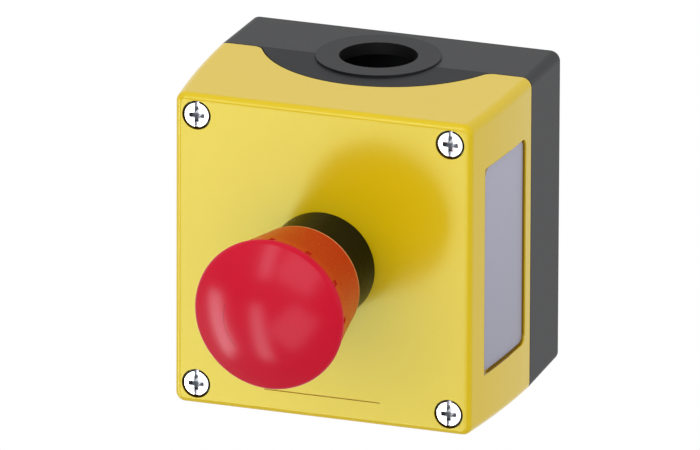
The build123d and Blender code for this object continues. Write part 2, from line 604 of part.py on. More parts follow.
def holder_screws():
    screws = []
    for z in (-HOLDER_SCREW_Z, HOLDER_SCREW_Z):
        head_back = BARREL_BACK_DEPTH - HOLDER_SCREW_HEAD_HEIGHT
        screw = rod(HOLDER_SCREW_HEAD_RADIUS, head_back, BARREL_BACK_DEPTH, z=z)
        screw += rod(HOLDER_SCREW_RADIUS, BARREL_BACK_DEPTH, COVER_INSIDE_DEPTH, z=z)
        screw -= bar(
            DRIVE_SLOT_WIDTH, 2 * HOLDER_SCREW_HEAD_RADIUS, head_back, head_back + DRIVE_SLOT_DEPTH, z=z
        )
        screws.append(screw)
    return screws


def cone_radius(depth):
    """Radius of the latch sleeve's tapered bore: it leaves the pins their clearance as they go in."""
    pin_back = PIN_DEPTH - PIN_RADIUS
    return PIN_TIP + CONE_CLEARANCE + (depth - pin_back) * PIN_TRAVEL / PRESS_TRAVEL


def guide_bush():
    return ring(
        SLEEVE_RADIUS, STEM_RADIUS + RUNNING_CLEARANCE,
        BARREL_BACK_DEPTH, BARREL_BACK_DEPTH + BUSH_THICKNESS,
    )


def latch_sleeve():
    back = BARREL_BACK_DEPTH + BUSH_THICKNESS
    groove_end = back + LATCH_GROOVE_LENGTH
    front = SLEEVE_FRONT_DEPTH
    chamber_front = front - SLEEVE_FRONT_WALL
    guide = STEM_RADIUS + RUNNING_CLEARANCE
    return turned(*outline(
        (LATCH_GROOVE_RADIUS, back), (SLEEVE_RADIUS, back), (SLEEVE_RADIUS, LEDGE_DEPTH),
        (SLEEVE_FLANGE_RADIUS, LEDGE_DEPTH), (SLEEVE_FLANGE_RADIUS, front), (guide, front),
        (guide, chamber_front), (cone_radius(chamber_front), chamber_front),
        (cone_radius(groove_end), groove_end), (LATCH_GROOVE_RADIUS, groove_end),
    ))


# --- Actuator, pieces that move with the press -------------------------------------------------------
def plunger_stem():
    stem = rod(SPIGOT_RADIUS, SPIGOT_BACK_DEPTH, BARREL_BACK_DEPTH)
    stem -= ring(SPIGOT_RADIUS, CLIP_SEAT_RADIUS, CLIP_BACK_DEPTH - CLIP_PLAY, FOOT_BACK_DEPTH)
    stem += rod(STEM_RADIUS, BARREL_BACK_DEPTH, STEM_FRONT_DEPTH)
    stem += rod(SPRING_PLATE_RADIUS, SPRING_PLATE_DEPTH, PLATE_FRONT_DEPTH)
    stem -= upright(PIN_RADIUS + PIN_CLEARANCE, -STEM_RADIUS, STEM_RADIUS, PIN_DEPTH)
    stem -= rod(
        HUB_SCREW_RADIUS + THREAD_CLEARANCE, STEM_FRONT_DEPTH - HUB_SCREW_LENGTH, STEM_FRONT_DEPTH
    )
    return stem


def push_foot():
    foot = bar(FOOT_WIDTH, FOOT_HEIGHT, FOOT_BACK_DEPTH, BARREL_BACK_DEPTH, corner=FOOT_CORNER)
    return foot - rod(SPIGOT_RADIUS + THREAD_CLEARANCE, FOOT_BACK_DEPTH, BARREL_BACK_DEPTH)


def stem_clip():
    inner = CLIP_SEAT_RADIUS + CLIP_PLAY
    outer = inner + CLIP_WIDTH
    clip = ring(outer, inner, CLIP_BACK_DEPTH, CLIP_FRONT_DEPTH)
    mouth = bar(2 * CLIP_SEAT_RADIUS, outer, CLIP_BACK_DEPTH, CLIP_FRONT_DEPTH, z=-outer / 2)
    return clip - mouth


def return_spring():
    return axial_coil(
        RETURN_SPRING_RADIUS, RETURN_SPRING_WIRE, RETURN_SPRING_TURNS, LEDGE_DEPTH, SPRING_PLATE_DEPTH
    )


def turn_spring():
    return axial_coil(
        TURN_SPRING_RADIUS, TURN_SPRING_WIRE, TURN_SPRING_TURNS, PLATE_FRONT_DEPTH, DISC_BACK_DEPTH
    )


def hub_washer():
    return ring(
        WASHER_RADIUS, HUB_SCREW_RADIUS + THREAD_CLEARANCE,
        STEM_FRONT_DEPTH, STEM_FRONT_DEPTH + WASHER_THICKNESS,
    )


def hub_screw():
    head_back = STEM_FRONT_DEPTH + WASHER_THICKNESS
    head_front = head_back + HUB_SCREW_HEAD_HEIGHT
    screw = rod(HUB_SCREW_HEAD_RADIUS, head_back, head_front)
    screw += rod(HUB_SCREW_RADIUS, STEM_FRONT_DEPTH - HUB_SCREW_LENGTH + SCREW_HOLE_CLEARANCE, head_back)
    return screw - bar(
        DRIVE_SLOT_WIDTH, 2 * HUB_SCREW_HEAD_RADIUS, head_front - DRIVE_SLOT_DEPTH, head_front
    )


def latch_pin():
    """The upper latch pin, with a rounded tip."""
    pin = upright(PIN_RADIUS, PIN_TAIL, PIN_TIP, PIN_DEPTH)
    return fillet(pin.edges().sort_by(Axis.Z)[-1:], PIN_RADIUS / 2)


def latch_spring():
    length = 2 * (PIN_TAIL - SPRING_SEAT_GAP)
    spring = coil(LATCH_SPRING_RADIUS, LATCH_SPRING_WIRE, LATCH_SPRING_TURNS, length)
    return Pos(0, -PIN_DEPTH, -length / 2) * spring


# --- Head --------------------------------------------------------------------------------------------
def cap_hub():
    hub = rod(HUB_BOSS_RADIUS, HUB_BACK_DEPTH, HUB_FRONT_DEPTH)
    hub += rod(HUB_DISC_RADIUS, DISC_BACK_DEPTH, CAP_BACK_DEPTH)
    return hub - rod(STEM_RADIUS + RUNNING_CLEARANCE, HUB_BACK_DEPTH, HUB_FRONT_DEPTH)


def cap_skirt():
    inner_back = (SKIRT_INNER_RADIUS, -SKIRT_BACK_DEPTH)
    outer_back = (SKIRT_BACK_RADIUS, -SKIRT_BACK_DEPTH)
    outer_rim = (SKIRT_RIM_RADIUS, -SKIRT_RIM_DEPTH)
    seat = HUB_DISC_RADIUS + THREAD_CLEARANCE
    inner_front = (seat - SKIRT_LIP, -DISC_BACK_DEPTH)
    skirt = turned(
        Line(inner_back, outer_back),
        ThreePointArc(outer_back, (SKIRT_WAIST_RADIUS, -SKIRT_WAIST_DEPTH), outer_rim),
        Line(outer_rim, (seat, -SKIRT_RIM_DEPTH)),
        Line((seat, -SKIRT_RIM_DEPTH), (seat, -DISC_BACK_DEPTH)),
        Line((seat, -DISC_BACK_DEPTH), inner_front),
        ThreePointArc(inner_front, (SKIRT_WAIST_RADIUS - SKIRT_WALL, -SKIRT_WAIST_DEPTH), inner_back),
    )
    for place in range(NOTCH_COUNT):
        notch = bar(
            NOTCH_WIDTH, 2 * NOTCH_CUT, SKIRT_RIM_DEPTH - NOTCH_LENGTH, SKIRT_RIM_DEPTH,
            z=SKIRT_RIM_RADIUS,
        )
        skirt -= Rot(0, 360 * place / NOTCH_COUNT, 0) * notch
    return skirt


def mushroom_cap():
    def dome(inset):
        """Solid under the dome drawn in by an inset: a crown and a shoulder arc, closed across the back."""
        shoulder = CAP_SHOULDER_RADIUS - inset
        crown = CAP_CROWN_RADIUS - inset
        crown_end = asin(SHOULDER_MIDDLE / CROWN_TO_SHOULDER)
        rim = acos(CAP_SHOULDER_BEHIND / shoulder)

        def on_crown(angle):
            return (crown * sin(angle), -(CROWN_DEPTH + crown * cos(angle)))

        def on_shoulder(angle):
            return (SHOULDER_MIDDLE + shoulder * sin(angle), -(SHOULDER_DEPTH + shoulder * cos(angle)))

        return turned(
            Line((0, -CAP_BACK_DEPTH), on_shoulder(rim)),
            ThreePointArc(on_shoulder(rim), on_shoulder((rim + crown_end) / 2), on_shoulder(crown_end)),
            ThreePointArc(on_crown(crown_end), on_crown(crown_end / 2), on_crown(0)),
            Line(on_crown(0), (0, -CAP_BACK_DEPTH)),
        )

    cap = dome(0)
    cap = fillet(cap.faces().sort_by(Axis.Y)[-1].edges(), CAP_RIM_RADIUS)
    return cap - dome(CAP_WALL)


# --- Contact blocks ----------------------------------------------------------------------------------
def contact_carrier():
    carrier = bar(CARRIER_WIDTH, CARRIER_HEIGHT, FLOOR, BLOCK_BACK_DEPTH, corner=CARRIER_CORNER)
    lip_z = (CARRIER_HEIGHT - CARRIER_LIP_WIDTH) / 2
    lip_length = CARRIER_WIDTH - 2 * CARRIER_CORNER
    lip_front = BLOCK_BACK_DEPTH + CARRIER_LIP_HEIGHT
    for z in (-lip_z, lip_z):
        carrier += bar(lip_length, CARRIER_LIP_WIDTH, BLOCK_BACK_DEPTH, lip_front, z=z)
    for z in (-CARRIER_SCREW_Z, CARRIER_SCREW_Z):
        carrier -= rod(CARRIER_SCREW_RADIUS + SCREW_HOLE_CLEARANCE, FLOOR, BLOCK_BACK_DEPTH, z=z)
    return carrier


def carrier_screws():
    screws = []
    for z in (-CARRIER_SCREW_Z, CARRIER_SCREW_Z):
        head_front = BLOCK_BACK_DEPTH + CARRIER_SCREW_HEAD_HEIGHT
        screw = rod(CARRIER_SCREW_HEAD_RADIUS, BLOCK_BACK_DEPTH, head_front, z=z)
        screw += rod(
            CARRIER_SCREW_RADIUS, FLOOR - CARRIER_SCREW_BITE + SCREW_HOLE_CLEARANCE, BLOCK_BACK_DEPTH, z=z
        )
        screw -= bar(
            DRIVE_SLOT_WIDTH, 2 * CARRIER_SCREW_HEAD_RADIUS, head_front - DRIVE_SLOT_DEPTH, head_front, z=z
        )
        screws.append(screw)
    return screws


# The right-hand block is drawn; the left-hand one is its mirror image.
def lid_centre_x():
    return BLOCK_X - BLOCK_WIDTH / 2 + LID_THICKNESS / 2


def chamber(width, centre_x):
    """The block's working chamber, open on the side that the lid closes."""
    return bar(width, CHAMBER_HEIGHT, CHAMBER_BACK_DEPTH, CHAMBER_FRONT_DEPTH, centre_x)


def contact_block():
    block = bar(BLOCK_WIDTH, BLOCK_HEIGHT, BLOCK_BACK_DEPTH, BLOCK_FRONT_DEPTH, BLOCK_X)
    block -= chamber(BLOCK_WIDTH - BLOCK_WALL, BLOCK_X - BLOCK_WALL / 2)
    block -= bar(
        PLUNGER_WIDTH + 2 * GUIDE_CLEARANCE, PLUNGER_HEIGHT + 2 * GUIDE_CLEARANCE,
        CHAMBER_FRONT_DEPTH, BLOCK_FRONT_DEPTH, BLOCK_X,
    )
    for way in (-1, 1):
        block -= bar(
            POCKET_WIDTH, POCKET_HEIGHT, CLAMP_BACK_DEPTH, BLOCK_FRONT_DEPTH, BLOCK_X, way * TERMINAL_Z
        )
        strip_slot = TERMINAL_Z - STRIP_END_Z
        block -= bar(
            STRIP_WIDTH + 2 * GUIDE_CLEARANCE, strip_slot, STRIP_DEPTH - GUIDE_CLEARANCE,
            STRIP_DEPTH + STRIP_THICKNESS + GUIDE_CLEARANCE, BLOCK_X, way * (STRIP_END_Z + strip_slot / 2),
        )
        wire_low = min(way * TERMINAL_Z, way * BLOCK_HEIGHT / 2)
        wire_high = max(way * TERMINAL_Z, way * BLOCK_HEIGHT / 2)
        block -= upright(WIRE_HOLE_RADIUS, wire_low, wire_high, WIRE_DEPTH, BLOCK_X)
    return block


def block_lid():
    return chamber(LID_THICKNESS, lid_centre_x())


def fixed_contacts():
    contacts = []
    strip_end = TERMINAL_Z + CLAMP_HEIGHT / 2
    for way in (-1, 1):
        contact = bar(
            STRIP_WIDTH, strip_end - STRIP_END_Z, STRIP_DEPTH, STRIP_DEPTH + STRIP_THICKNESS,
            BLOCK_X, way * (strip_end + STRIP_END_Z) / 2,
        )
        contact += rod(RIVET_RADIUS, RIVET_FACE_DEPTH, STRIP_DEPTH, BLOCK_X, way * RIVET_Z)
        contact -= rod(
            TERMINAL_SCREW_RADIUS + SCREW_HOLE_CLEARANCE, STRIP_DEPTH, STRIP_DEPTH + STRIP_THICKNESS,
            BLOCK_X, way * TERMINAL_Z,
        )
        contacts.append(contact)
    return contacts


def terminal_clamps():
    clamps = []
    for way in (-1, 1):
        z = way * TERMINAL_Z
        clamp = bar(CLAMP_WIDTH, CLAMP_HEIGHT, CLAMP_BACK_DEPTH, STRIP_DEPTH, BLOCK_X, z)
        clamp -= upright(WIRE_HOLE_RADIUS, z - CLAMP_HEIGHT, z + CLAMP_HEIGHT, WIRE_DEPTH, BLOCK_X)
        clamp -= rod(TERMINAL_SCREW_RADIUS + THREAD_CLEARANCE, WIRE_DEPTH, STRIP_DEPTH, BLOCK_X, z)
        clamps.append(clamp)
    return clamps


def terminal_screws():
    screws = []
    head_back = STRIP_DEPTH + STRIP_THICKNESS
    head_front = head_back + TERMINAL_SCREW_HEAD_HEIGHT
    tip = WIRE_DEPTH + WIRE_HOLE_RADIUS / 2
    for way in (-1, 1):
        z = way * TERMINAL_Z
        screw = rod(TERMINAL_SCREW_HEAD_RADIUS, head_back, head_front, BLOCK_X, z)
        screw += rod(TERMINAL_SCREW_RADIUS, tip, head_back, BLOCK_X, z)
        screw -= bar(
            DRIVE_SLOT_WIDTH, 2 * TERMINAL_SCREW_HEAD_RADIUS, head_front - DRIVE_SLOT_DEPTH, head_front,
            BLOCK_X, z,
        )
        screws.append(screw)
    return screws


def contact_plunger():
    neck_front = STRIP_DEPTH + STRIP_THICKNESS + NECK_CLEARANCE + PRESS_TRAVEL
    plunger = bar(PLUNGER_WIDTH, PLUNGER_HEIGHT, neck_front, FOOT_BACK_DEPTH, BLOCK_X)
    neck_width = PLUNGER_WIDTH - 2 * PLUNGER_NECK_STEP
    plunger += bar(neck_width, PLUNGER_NECK_HEIGHT, BRIDGE_FRONT_DEPTH, neck_front, BLOCK_X)
    pin_back = BRIDGE_FRONT_DEPTH - PLUNGER_PIN_LENGTH
    plunger += rod(PLUNGER_PIN_RADIUS, pin_back, BRIDGE_FRONT_DEPTH, BLOCK_X)
    return plunger


def contact_bridge():
    bridge = bar(STRIP_WIDTH, 2 * BRIDGE_HALF_LENGTH, BRIDGE_BACK_DEPTH, BRIDGE_FRONT_DEPTH, BLOCK_X)
    hole_radius = PLUNGER_PIN_RADIUS + THREAD_CLEARANCE
    bridge -= rod(hole_radius, BRIDGE_BACK_DEPTH, BRIDGE_FRONT_DEPTH, BLOCK_X)
    for way in (-1, 1):
        bridge += rod(RIVET_RADIUS, BRIDGE_FRONT_DEPTH, RIVET_FACE_DEPTH, BLOCK_X, way * RIVET_Z)
    return bridge


def contact_spring():
    return axial_coil(
        CONTACT_SPRING_RADIUS, CONTACT_SPRING_WIRE, CONTACT_SPRING_TURNS,
        CHAMBER_BACK_DEPTH, BRIDGE_BACK_DEPTH, BLOCK_X,
    )


# --- Nodes -------------------------------------------------------------------------------------------
BLOCK_PIECES = {
    "contact_block": contact_block,
    "block_lid": block_lid,
    "fixed_contacts": fixed_contacts,
    "terminal_clamps": terminal_clamps,
    "terminal_screws": terminal_screws,
    "contact_plunger": contact_plunger,
    "contact_bridge": contact_bridge,
    "contact_spring": contact_spring,
}

SINGLE_PIECES = [
    enclosure_base, enclosure_cover, cover_gasket, cover_screws, side_label, actuator_collar, collar_seal,
    mounting_holder, holder_screws, guide_bush, latch_sleeve, plunger_stem, push_foot, stem_clip,
    return_spring, turn_spring, hub_washer, hub_screw, latch_spring, cap_hub, cap_skirt, mushroom_cap,
    contact_carrier, carrier_screws,
]


def solids_of(piece):
    """All solids of a piece, which may be one shape or a list of shapes."""
    shapes = piece if isinstance(piece, list) else [piece]
    return [solid for shape in shapes for solid in shape.solids()]


def write_node(name, piece):
    solids = solids_of(piece)
    shape = solids[0] if len(solids) == 1 else Compound(children=solids)
    export_step(shape, f"parts/{name}.step")


os.makedirs("parts", exist_ok=True)
for make in SINGLE_PIECES:
    write_node(make.__name__, make())
write_node("latch_pin_upper", latch_pin())
write_node("latch_pin_lower", mirror(latch_pin(), about=Plane.XY))
for name, make in BLOCK_PIECES.items():
    right = solids_of(make())
    write_node(f"{name}_right", right)
    write_node(f"{name}_left", [mirror(solid, about=Plane.YZ) for solid in right])
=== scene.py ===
import json
import math

import bmesh
import bpy
from mathutils import Matrix, Quaternion, Vector


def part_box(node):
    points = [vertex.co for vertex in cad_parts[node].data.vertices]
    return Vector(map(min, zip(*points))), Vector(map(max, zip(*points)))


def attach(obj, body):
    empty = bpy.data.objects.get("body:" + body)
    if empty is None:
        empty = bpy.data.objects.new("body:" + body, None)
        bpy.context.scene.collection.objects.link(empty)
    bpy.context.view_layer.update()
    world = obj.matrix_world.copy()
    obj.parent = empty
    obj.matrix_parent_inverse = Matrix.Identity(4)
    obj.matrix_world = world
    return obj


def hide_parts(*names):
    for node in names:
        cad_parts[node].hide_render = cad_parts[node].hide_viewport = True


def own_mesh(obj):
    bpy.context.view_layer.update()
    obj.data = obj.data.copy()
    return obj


bl_info = {
    "name": "Emergency stop station",
    "version": (1, 0, 0),
    "blender": (4, 5, 0),
    "location": "3D View > Sidebar > Stop station",
    "description": "Finishes of a surface-mounted emergency stop station around its construction model",
    "category": "Object",
}

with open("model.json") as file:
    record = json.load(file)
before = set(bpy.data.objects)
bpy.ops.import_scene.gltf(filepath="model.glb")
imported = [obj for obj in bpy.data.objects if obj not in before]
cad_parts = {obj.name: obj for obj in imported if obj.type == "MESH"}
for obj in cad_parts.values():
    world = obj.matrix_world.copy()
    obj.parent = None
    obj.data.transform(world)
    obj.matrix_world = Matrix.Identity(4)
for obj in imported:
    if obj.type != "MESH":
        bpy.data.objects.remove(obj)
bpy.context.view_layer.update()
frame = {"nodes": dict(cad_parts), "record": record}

# Units and tolerances. The frame is in metres: +Z up, the wall at y = 0 and the button towards -Y.
# A depth is a distance in front of the wall, so a point at depth d has y = -d.
MM = 0.001
MERGE = 0.0005 * MM                 # vertices nearer than this are one
FLAT_ANGLE = math.radians(0.3)      # faces that turn less than this are one flat face
EDGE_ANGLE = math.radians(32)       # an edge that turns more than this is softened
LEVEL = 0.99                        # a face whose normal has at least this much of Z lies level
CUT_STEP = 0.1 * MM                 # recesses that cross each other end this far apart outside the stock
BUTTON_AXIS = (0, 1, 0)
OUTLINE_NORMAL = (0, 0, 1)

# Straight pieces in each curve: a full turn, a small rounded corner, the skirt's flare, and the cap's dome
# and shoulder.
ROUND_STEPS = 192
CORNER_STEPS = 6
FLARE_STEPS = 32
DOME_STEPS = 40
SHOULDER_STEPS = 12

# Coils that a joint shortens: the joint, the coil's axis, and the share of its length, from its low end,
# at which it holds still.
COILS = {
    "return_spring": ("press", (0, 1, 0), 1.0),
    "contact_spring_left": ("left_contact_slide", (0, 1, 0), 1.0),
    "contact_spring_right": ("right_contact_slide", (0, 1, 0), 1.0),
    "latch_spring": ("upper_pin_slide", (0, 0, 1), 0.5),
}


# --- Colour, nodes and materials -----------------------------------------------------------------
FLOW_SHADE = 0.015          # melt flow makes a moulding's colour darker and lighter by this share
GRAIN_SHINE = 0.04          # and its grain makes it smoother and rougher by this much


def linear(code):
    """Linear colour of an sRGB hex code such as #E8C31E."""
    channels = [int(code[start:start + 2], 16) / 255 for start in (1, 3, 5)]
    return [c / 12.92 if c <= 0.04045 else ((c + 0.055) / 1.055) ** 2.4 for c in channels]


def per_metre(size_mm):
    """Texture scale that makes one cell of a pattern about this many millimetres wide."""
    return 1 / (size_mm * MM)


def add(tree, kind, inputs=None, links=None, **settings):
    """Adds a node with its settings, its sockets' values and the links that feed it."""
    node = tree.nodes.new(kind)
    for name, value in settings.items():
        setattr(node, name, value)
    for socket, value in (inputs or {}).items():
        node.inputs[socket].default_value = value
    for socket, source in (links or {}).items():
        tree.links.new(source, node.inputs[socket])
    return node


def new_material(name, **constants):
    """A material with a shader at constant values, and the piece's own coordinates to read."""
    material = bpy.data.materials.new(name)
    material.use_nodes = True
    tree = material.node_tree
    tree.nodes.clear()
    values = {key.replace("_", " "): value for key, value in constants.items()}
    shader = add(tree, "ShaderNodeBsdfPrincipled", inputs=values)
    add(tree, "ShaderNodeOutputMaterial", links={"Surface": shader.outputs["BSDF"]})
    place = add(tree, "ShaderNodeTexCoord").outputs["Object"]
    return material, tree, shader, place


def shade_between(tree, shader, factor, dark, light):
    """Colour that runs from dark to light with a factor."""
    mix = add(
        tree, "ShaderNodeMix", data_type="RGBA", inputs={6: [*dark, 1], 7: [*light, 1]}, links={0: factor}
    )
    tree.links.new(mix.outputs[2], shader.inputs["Base Color"])


def fade_to(tree, factor, colour):
    """Fades what a material's shader shows to a colour with a factor."""
    shader = next(node for node in tree.nodes if node.type == "BSDF_PRINCIPLED")
    shown = shader.inputs["Base Color"].links[0].from_socket
    fade = add(
        tree, "ShaderNodeMix", data_type="RGBA", inputs={7: [*colour, 1]}, links={0: factor, 6: shown}
    )
    tree.links.new(fade.outputs[2], shader.inputs["Base Color"])


def fade_along(tree, value, start, end, colour):
    """Fades what a material's shader shows to a colour while a length runs from start to end."""
    share = add(
        tree, "ShaderNodeMapRange", inputs={"From Min": start, "From Max": end}, links={"Value": value}
    )
    fade_to(tree, share.outputs["Result"], colour)


def place_in(tree):
    """The piece's own coordinates, as a vector and as its three parts."""
    place = next(node for node in tree.nodes if node.type == "TEX_COORD").outputs["Object"]
    return place, add(tree, "ShaderNodeSeparateXYZ", links={"Vector": place}).outputs


def from_axis(tree, place, through, across):
    """Distance from an axis through a place, with the directions across it given as ones."""
    apart = add(
        tree, "ShaderNodeVectorMath", operation="SUBTRACT", inputs={1: through}, links={0: place}
    )
    flat = add(
        tree, "ShaderNodeVectorMath", operation="MULTIPLY", inputs={1: across},
        links={0: apart.outputs["Vector"]},
    )
    return add(
        tree, "ShaderNodeVectorMath", operation="LENGTH", links={0: flat.outputs["Vector"]}
    ).outputs["Value"]


def within(tree, *ranges):
    """One where every length lies between its two limits in millimetres, otherwise zero."""
    mask = None
    for value, low, high in ranges:
        inside = add(
            tree, "ShaderNodeMath", operation="COMPARE", links={0: value},
            inputs={1: (low + high) / 2 * MM, 2: (high - low) / 2 * MM},
        )
        if mask is not None:
            inside = add(
                tree, "ShaderNodeMath", operation="MULTIPLY", links={0: mask, 1: inside.outputs["Value"]}
            )
        mask = inside.outputs["Value"]
    return mask


def gloss_between(tree, shader, factor, smooth, rough):
    """Roughness that runs from smooth to rough with a factor."""
    spread = add(
        tree, "ShaderNodeMapRange", inputs={"To Min": smooth, "To Max": rough}, links={"Value": factor}
    )
    tree.links.new(spread.outputs["Result"], shader.inputs["Roughness"])


def relief(tree, shader, height, depth_mm):
    """Fine relief on a surface from a height pattern."""
    bump = add(
        tree, "ShaderNodeBump", inputs={"Strength": 1.0, "Distance": depth_mm * MM}, links={"Height": height}
    )
    tree.links.new(bump.outputs["Normal"], shader.inputs["Normal"])


def scaled(colour, gain):
    """A linear colour made darker or lighter."""
    return [channel * gain for channel in colour]


def ready(name, make, *settings):
    """The material of a name, made now if no piece has it yet."""
    return bpy.data.materials.get(name) or make(*settings)


def moulded(name, colour, roughness, grain_mm, grain_depth_mm, flow_mm=14.0, **constants):
    """A moulded plastic: melt-flow shading over centimetres and the mould's own fine grain."""
    material, tree, shader, place = new_material(name, **constants)
    flow = add(
        tree, "ShaderNodeTexNoise", inputs={"Scale": per_metre(flow_mm), "Detail": 2.0},
        links={"Vector": place},
    )
    dark, light = scaled(colour, 1 - FLOW_SHADE), scaled(colour, 1 + FLOW_SHADE)
    shade_between(tree, shader, flow.outputs["Fac"], dark, light)
    grain = add(
        tree, "ShaderNodeTexNoise", inputs={"Scale": per_metre(grain_mm), "Detail": 3.0},
        links={"Vector": place},
    )
    gloss_between(tree, shader, grain.outputs["Fac"], roughness - GRAIN_SHINE, roughness + GRAIN_SHINE)
    relief(tree, shader, grain.outputs["Fac"], grain_depth_mm)
    return material


def lined(name, colour, spread, sizes_mm, smooth, rough, **constants):
    """A surface with fine straight lines: noise that is stretched to a size along each direction."""
    material, tree, shader, place = new_material(name, **constants)
    stretch = add(
        tree, "ShaderNodeMapping", inputs={"Scale": [per_metre(size_mm) for size_mm in sizes_mm]},
        links={"Vector": place},
    )
    lines = add(
        tree, "ShaderNodeTexNoise", inputs={"Scale": 1.0, "Detail": 2.0},
        links={"Vector": stretch.outputs["Vector"]},
    ).outputs["Fac"]
    shade_between(tree, shader, lines, scaled(colour, 1 - spread), scaled(colour, 1 + spread))
    gloss_between(tree, shader, lines, smooth, rough)
    relief(tree, shader, lines, depth_mm=0.001)
    return material


def yellow_polycarbonate(settings):
    """Injection-moulded polycarbonate in warning yellow.

    A fine spark-eroded mould leaves a satin skin: bright haze where it mirrors a lamp, full colour where it
    doesn't. The grain is drawn at 0.5 mm, about three times its real size, so that it shows. Painted shade
    darkens it round the screw heads, in the gap round the label and in the groove.
    """
    material = moulded(
        "yellow_polycarbonate", settings.cover_colour, roughness=0.21, grain_mm=0.5,
        grain_depth_mm=0.001, IOR=1.585, Specular_IOR_Level=0.35, Specular_Tint=(0.68, 1.0, 0.55, 1.0),
    )
    tree = material.node_tree
    place, parts = place_in(tree)
    front = -depths("enclosure_cover")[1] / MM

    # Each painted shade lies between two levels of its recess and reaches a little past the walls, in
    # millimetres.
    # Painted shade in the groove across the front.
    past_walls, top, floor = 0.05, 0.08, 0.6
    level, half = settings.groove_level / MM, settings.groove_width / 2 / MM + past_walls
    reach = settings.groove_length / 2 / MM
    groove = within(
        tree, (parts["X"], -reach, reach), (parts["Y"], front + top, front + floor),
        (parts["Z"], level - half, level + half),
    )
    fade_to(tree, groove, linear("#BE8E00"))

    # Painted shade in the gap round the label.
    past_walls, under_label, over_label = 0.12, 1.5, 0.45
    low, high = (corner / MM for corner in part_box("side_label"))
    room = settings.label_gap / MM + past_walls
    gap = within(
        tree, (parts["X"], high.x - under_label, high.x + over_label),
        (parts["Y"], low.y - room, high.y + room), (parts["Z"], low.z - room, high.z + room),
    )
    fade_to(tree, gap, linear("#9C760A"))

    # Painted shade in the well round each screw head.
    past_walls, top = 0.06, 0.1
    quarter = add(tree, "ShaderNodeVectorMath", operation="ABSOLUTE", links={0: place}).outputs["Vector"]
    screw = screw_places("cover_screws", settings.head_radius)[-1]
    away = from_axis(tree, quarter, screw, (1, 0, 1))
    rim = settings.screw_well / MM + past_walls
    well = within(tree, (away, 0, rim), (parts["Y"], front + top, 0))
    fade_to(tree, well, linear("#6A4806"))
    return material


def black_polyamide(settings, skin="case", shine=0.28):
    """Glass-filled polyamide: dull near-black with pale ends of fibres just under the skin.

    Painted shade makes it nearly black in the bores of the cable entries and in the sharp line round the foot
    of their pads. The skin's shine depends on how each face of the mould was polished.
    """
    material = moulded(
        f"glass_filled_polyamide_{skin}", settings.base_colour, roughness=0.5, grain_mm=0.45,
        grain_depth_mm=0.004, IOR=1.53, Specular_IOR_Level=shine, Specular_Tint=(0.96, 0.97, 1.0, 1.0),
    )
    tree = material.node_tree
    away = from_axis(tree, place_in(tree)[0], (0, -settings.entry_depth, 0), (1, 1, 0))
    # Painted shade, nearly black, in the entries' bores and in a thin ring round the foot of their pads.
    past_bore, half_line = 0.1, 0.16
    bore, pad = settings.entry_radius / MM + past_bore, settings.pad_radius / MM
    for inner, outer in ((0, bore), (pad - half_line, pad + half_line)):
        fade_to(tree, within(tree, (away, inner, outer)), linear("#020202"))
    return material


def nitrile_rubber():
    """Moulded nitrile seal: dead matt black with a little talc bloom."""
    return moulded(
        "nitrile_rubber", linear("#1C1C1C"), roughness=0.75, grain_mm=0.3, grain_depth_mm=0.006, IOR=1.52
    )


def zinc_plated_steel(name="zinc_plated_steel"):
    """Bright zinc on turned steel: pale blue-white mirror, softened by plating crystals."""
    material, tree, shader, place = new_material(name, Metallic=1.0)
    bloom = add(
        tree, "ShaderNodeTexNoise", inputs={"Scale": per_metre(2.5), "Detail": 4.0}, links={"Vector": place}
    )
    shade_between(tree, shader, bloom.outputs["Fac"], linear("#E4E6EA"), linear("#F6F6F4"))
    crystals = add(
        tree, "ShaderNodeTexNoise", inputs={"Scale": per_metre(0.4), "Detail": 4.0}, links={"Vector": place}
    )
    gloss_between(tree, shader, crystals.outputs["Fac"], smooth=0.16, rough=0.3)
    relief(tree, shader, crystals.outputs["Fac"], depth_mm=0.003)
    return material


def plated_screw(front):
    """Zinc plating that is bright on a screw's face, with painted shade that darkens it down in the recesses.
    """
    material = zinc_plated_steel("zinc_plated_screws")
    tree = material.node_tree
    sunk = place_in(tree)[1]["Y"]
    # Painted shade, darker the deeper a surface lies below the screw's face.
    for start_mm, end_mm, colour in ((0.02, 0.22, "#8A8A94"), (0.7, 1.4, "#626468")):
        fade_along(tree, sunk, -front + start_mm * MM, -front + end_mm * MM, linear(colour))
    return material


def label_foil(settings):
    """Lacquered aluminium foil: cool grey, with rolling lines along its length under a matt coat.

    Painted shade deepens the grey towards the lower end.
    """
    material = lined(
        "lacquered_aluminium_foil", settings.label_colour, spread=0.05, sizes_mm=(0.25, 0.25, 18),
        smooth=0.4, rough=0.5, IOR=1.5,
    )
    tree = material.node_tree
    height, top = place_in(tree)[1]["Z"], settings.label_high
    # Painted shade: the grey runs darker towards the lower end.
    deeper = scaled(settings.label_colour, 0.8)
    fade_along(tree, height, top, -top, deeper)
    return material


def black_collar_plastic(settings):
    """Turned and polished black plastic: deep, with fine lathe lines round the button's axis."""
    return lined(
        "polished_black_plastic", settings.collar_colour, spread=0.1, sizes_mm=(20, 0.3, 20),
        smooth=0.24, rough=0.32, IOR=1.5, Specular_IOR_Level=0.06,
    )


def orange_skirt_plastic(settings):
    """Moulded orange-red plastic with a semi-gloss skin.

    It is more orange along the thin rim that meets the cap, and has a painted highlight on its back edge.
    """
    material = moulded(
        "orange_moulded_plastic", settings.skirt_colour, roughness=0.26, grain_mm=0.6,
        grain_depth_mm=0.001, IOR=1.5, Specular_IOR_Level=0.1,
    )
    back, rim = depths("cap_skirt")
    tree = material.node_tree
    depth = place_in(tree)[1]["Y"]
    fade_along(
        tree, depth, -rim + settings.rim_fade_start, -rim + settings.rim_fade_end, linear("#CC2412")
    )
    # Painted highlight: a pale band along the skirt's back edge.
    back_highlight = within(tree, (depth, (-back - settings.highlight_band) / MM, 0))
    fade_to(tree, back_highlight, linear("#EC9468"))
    return material


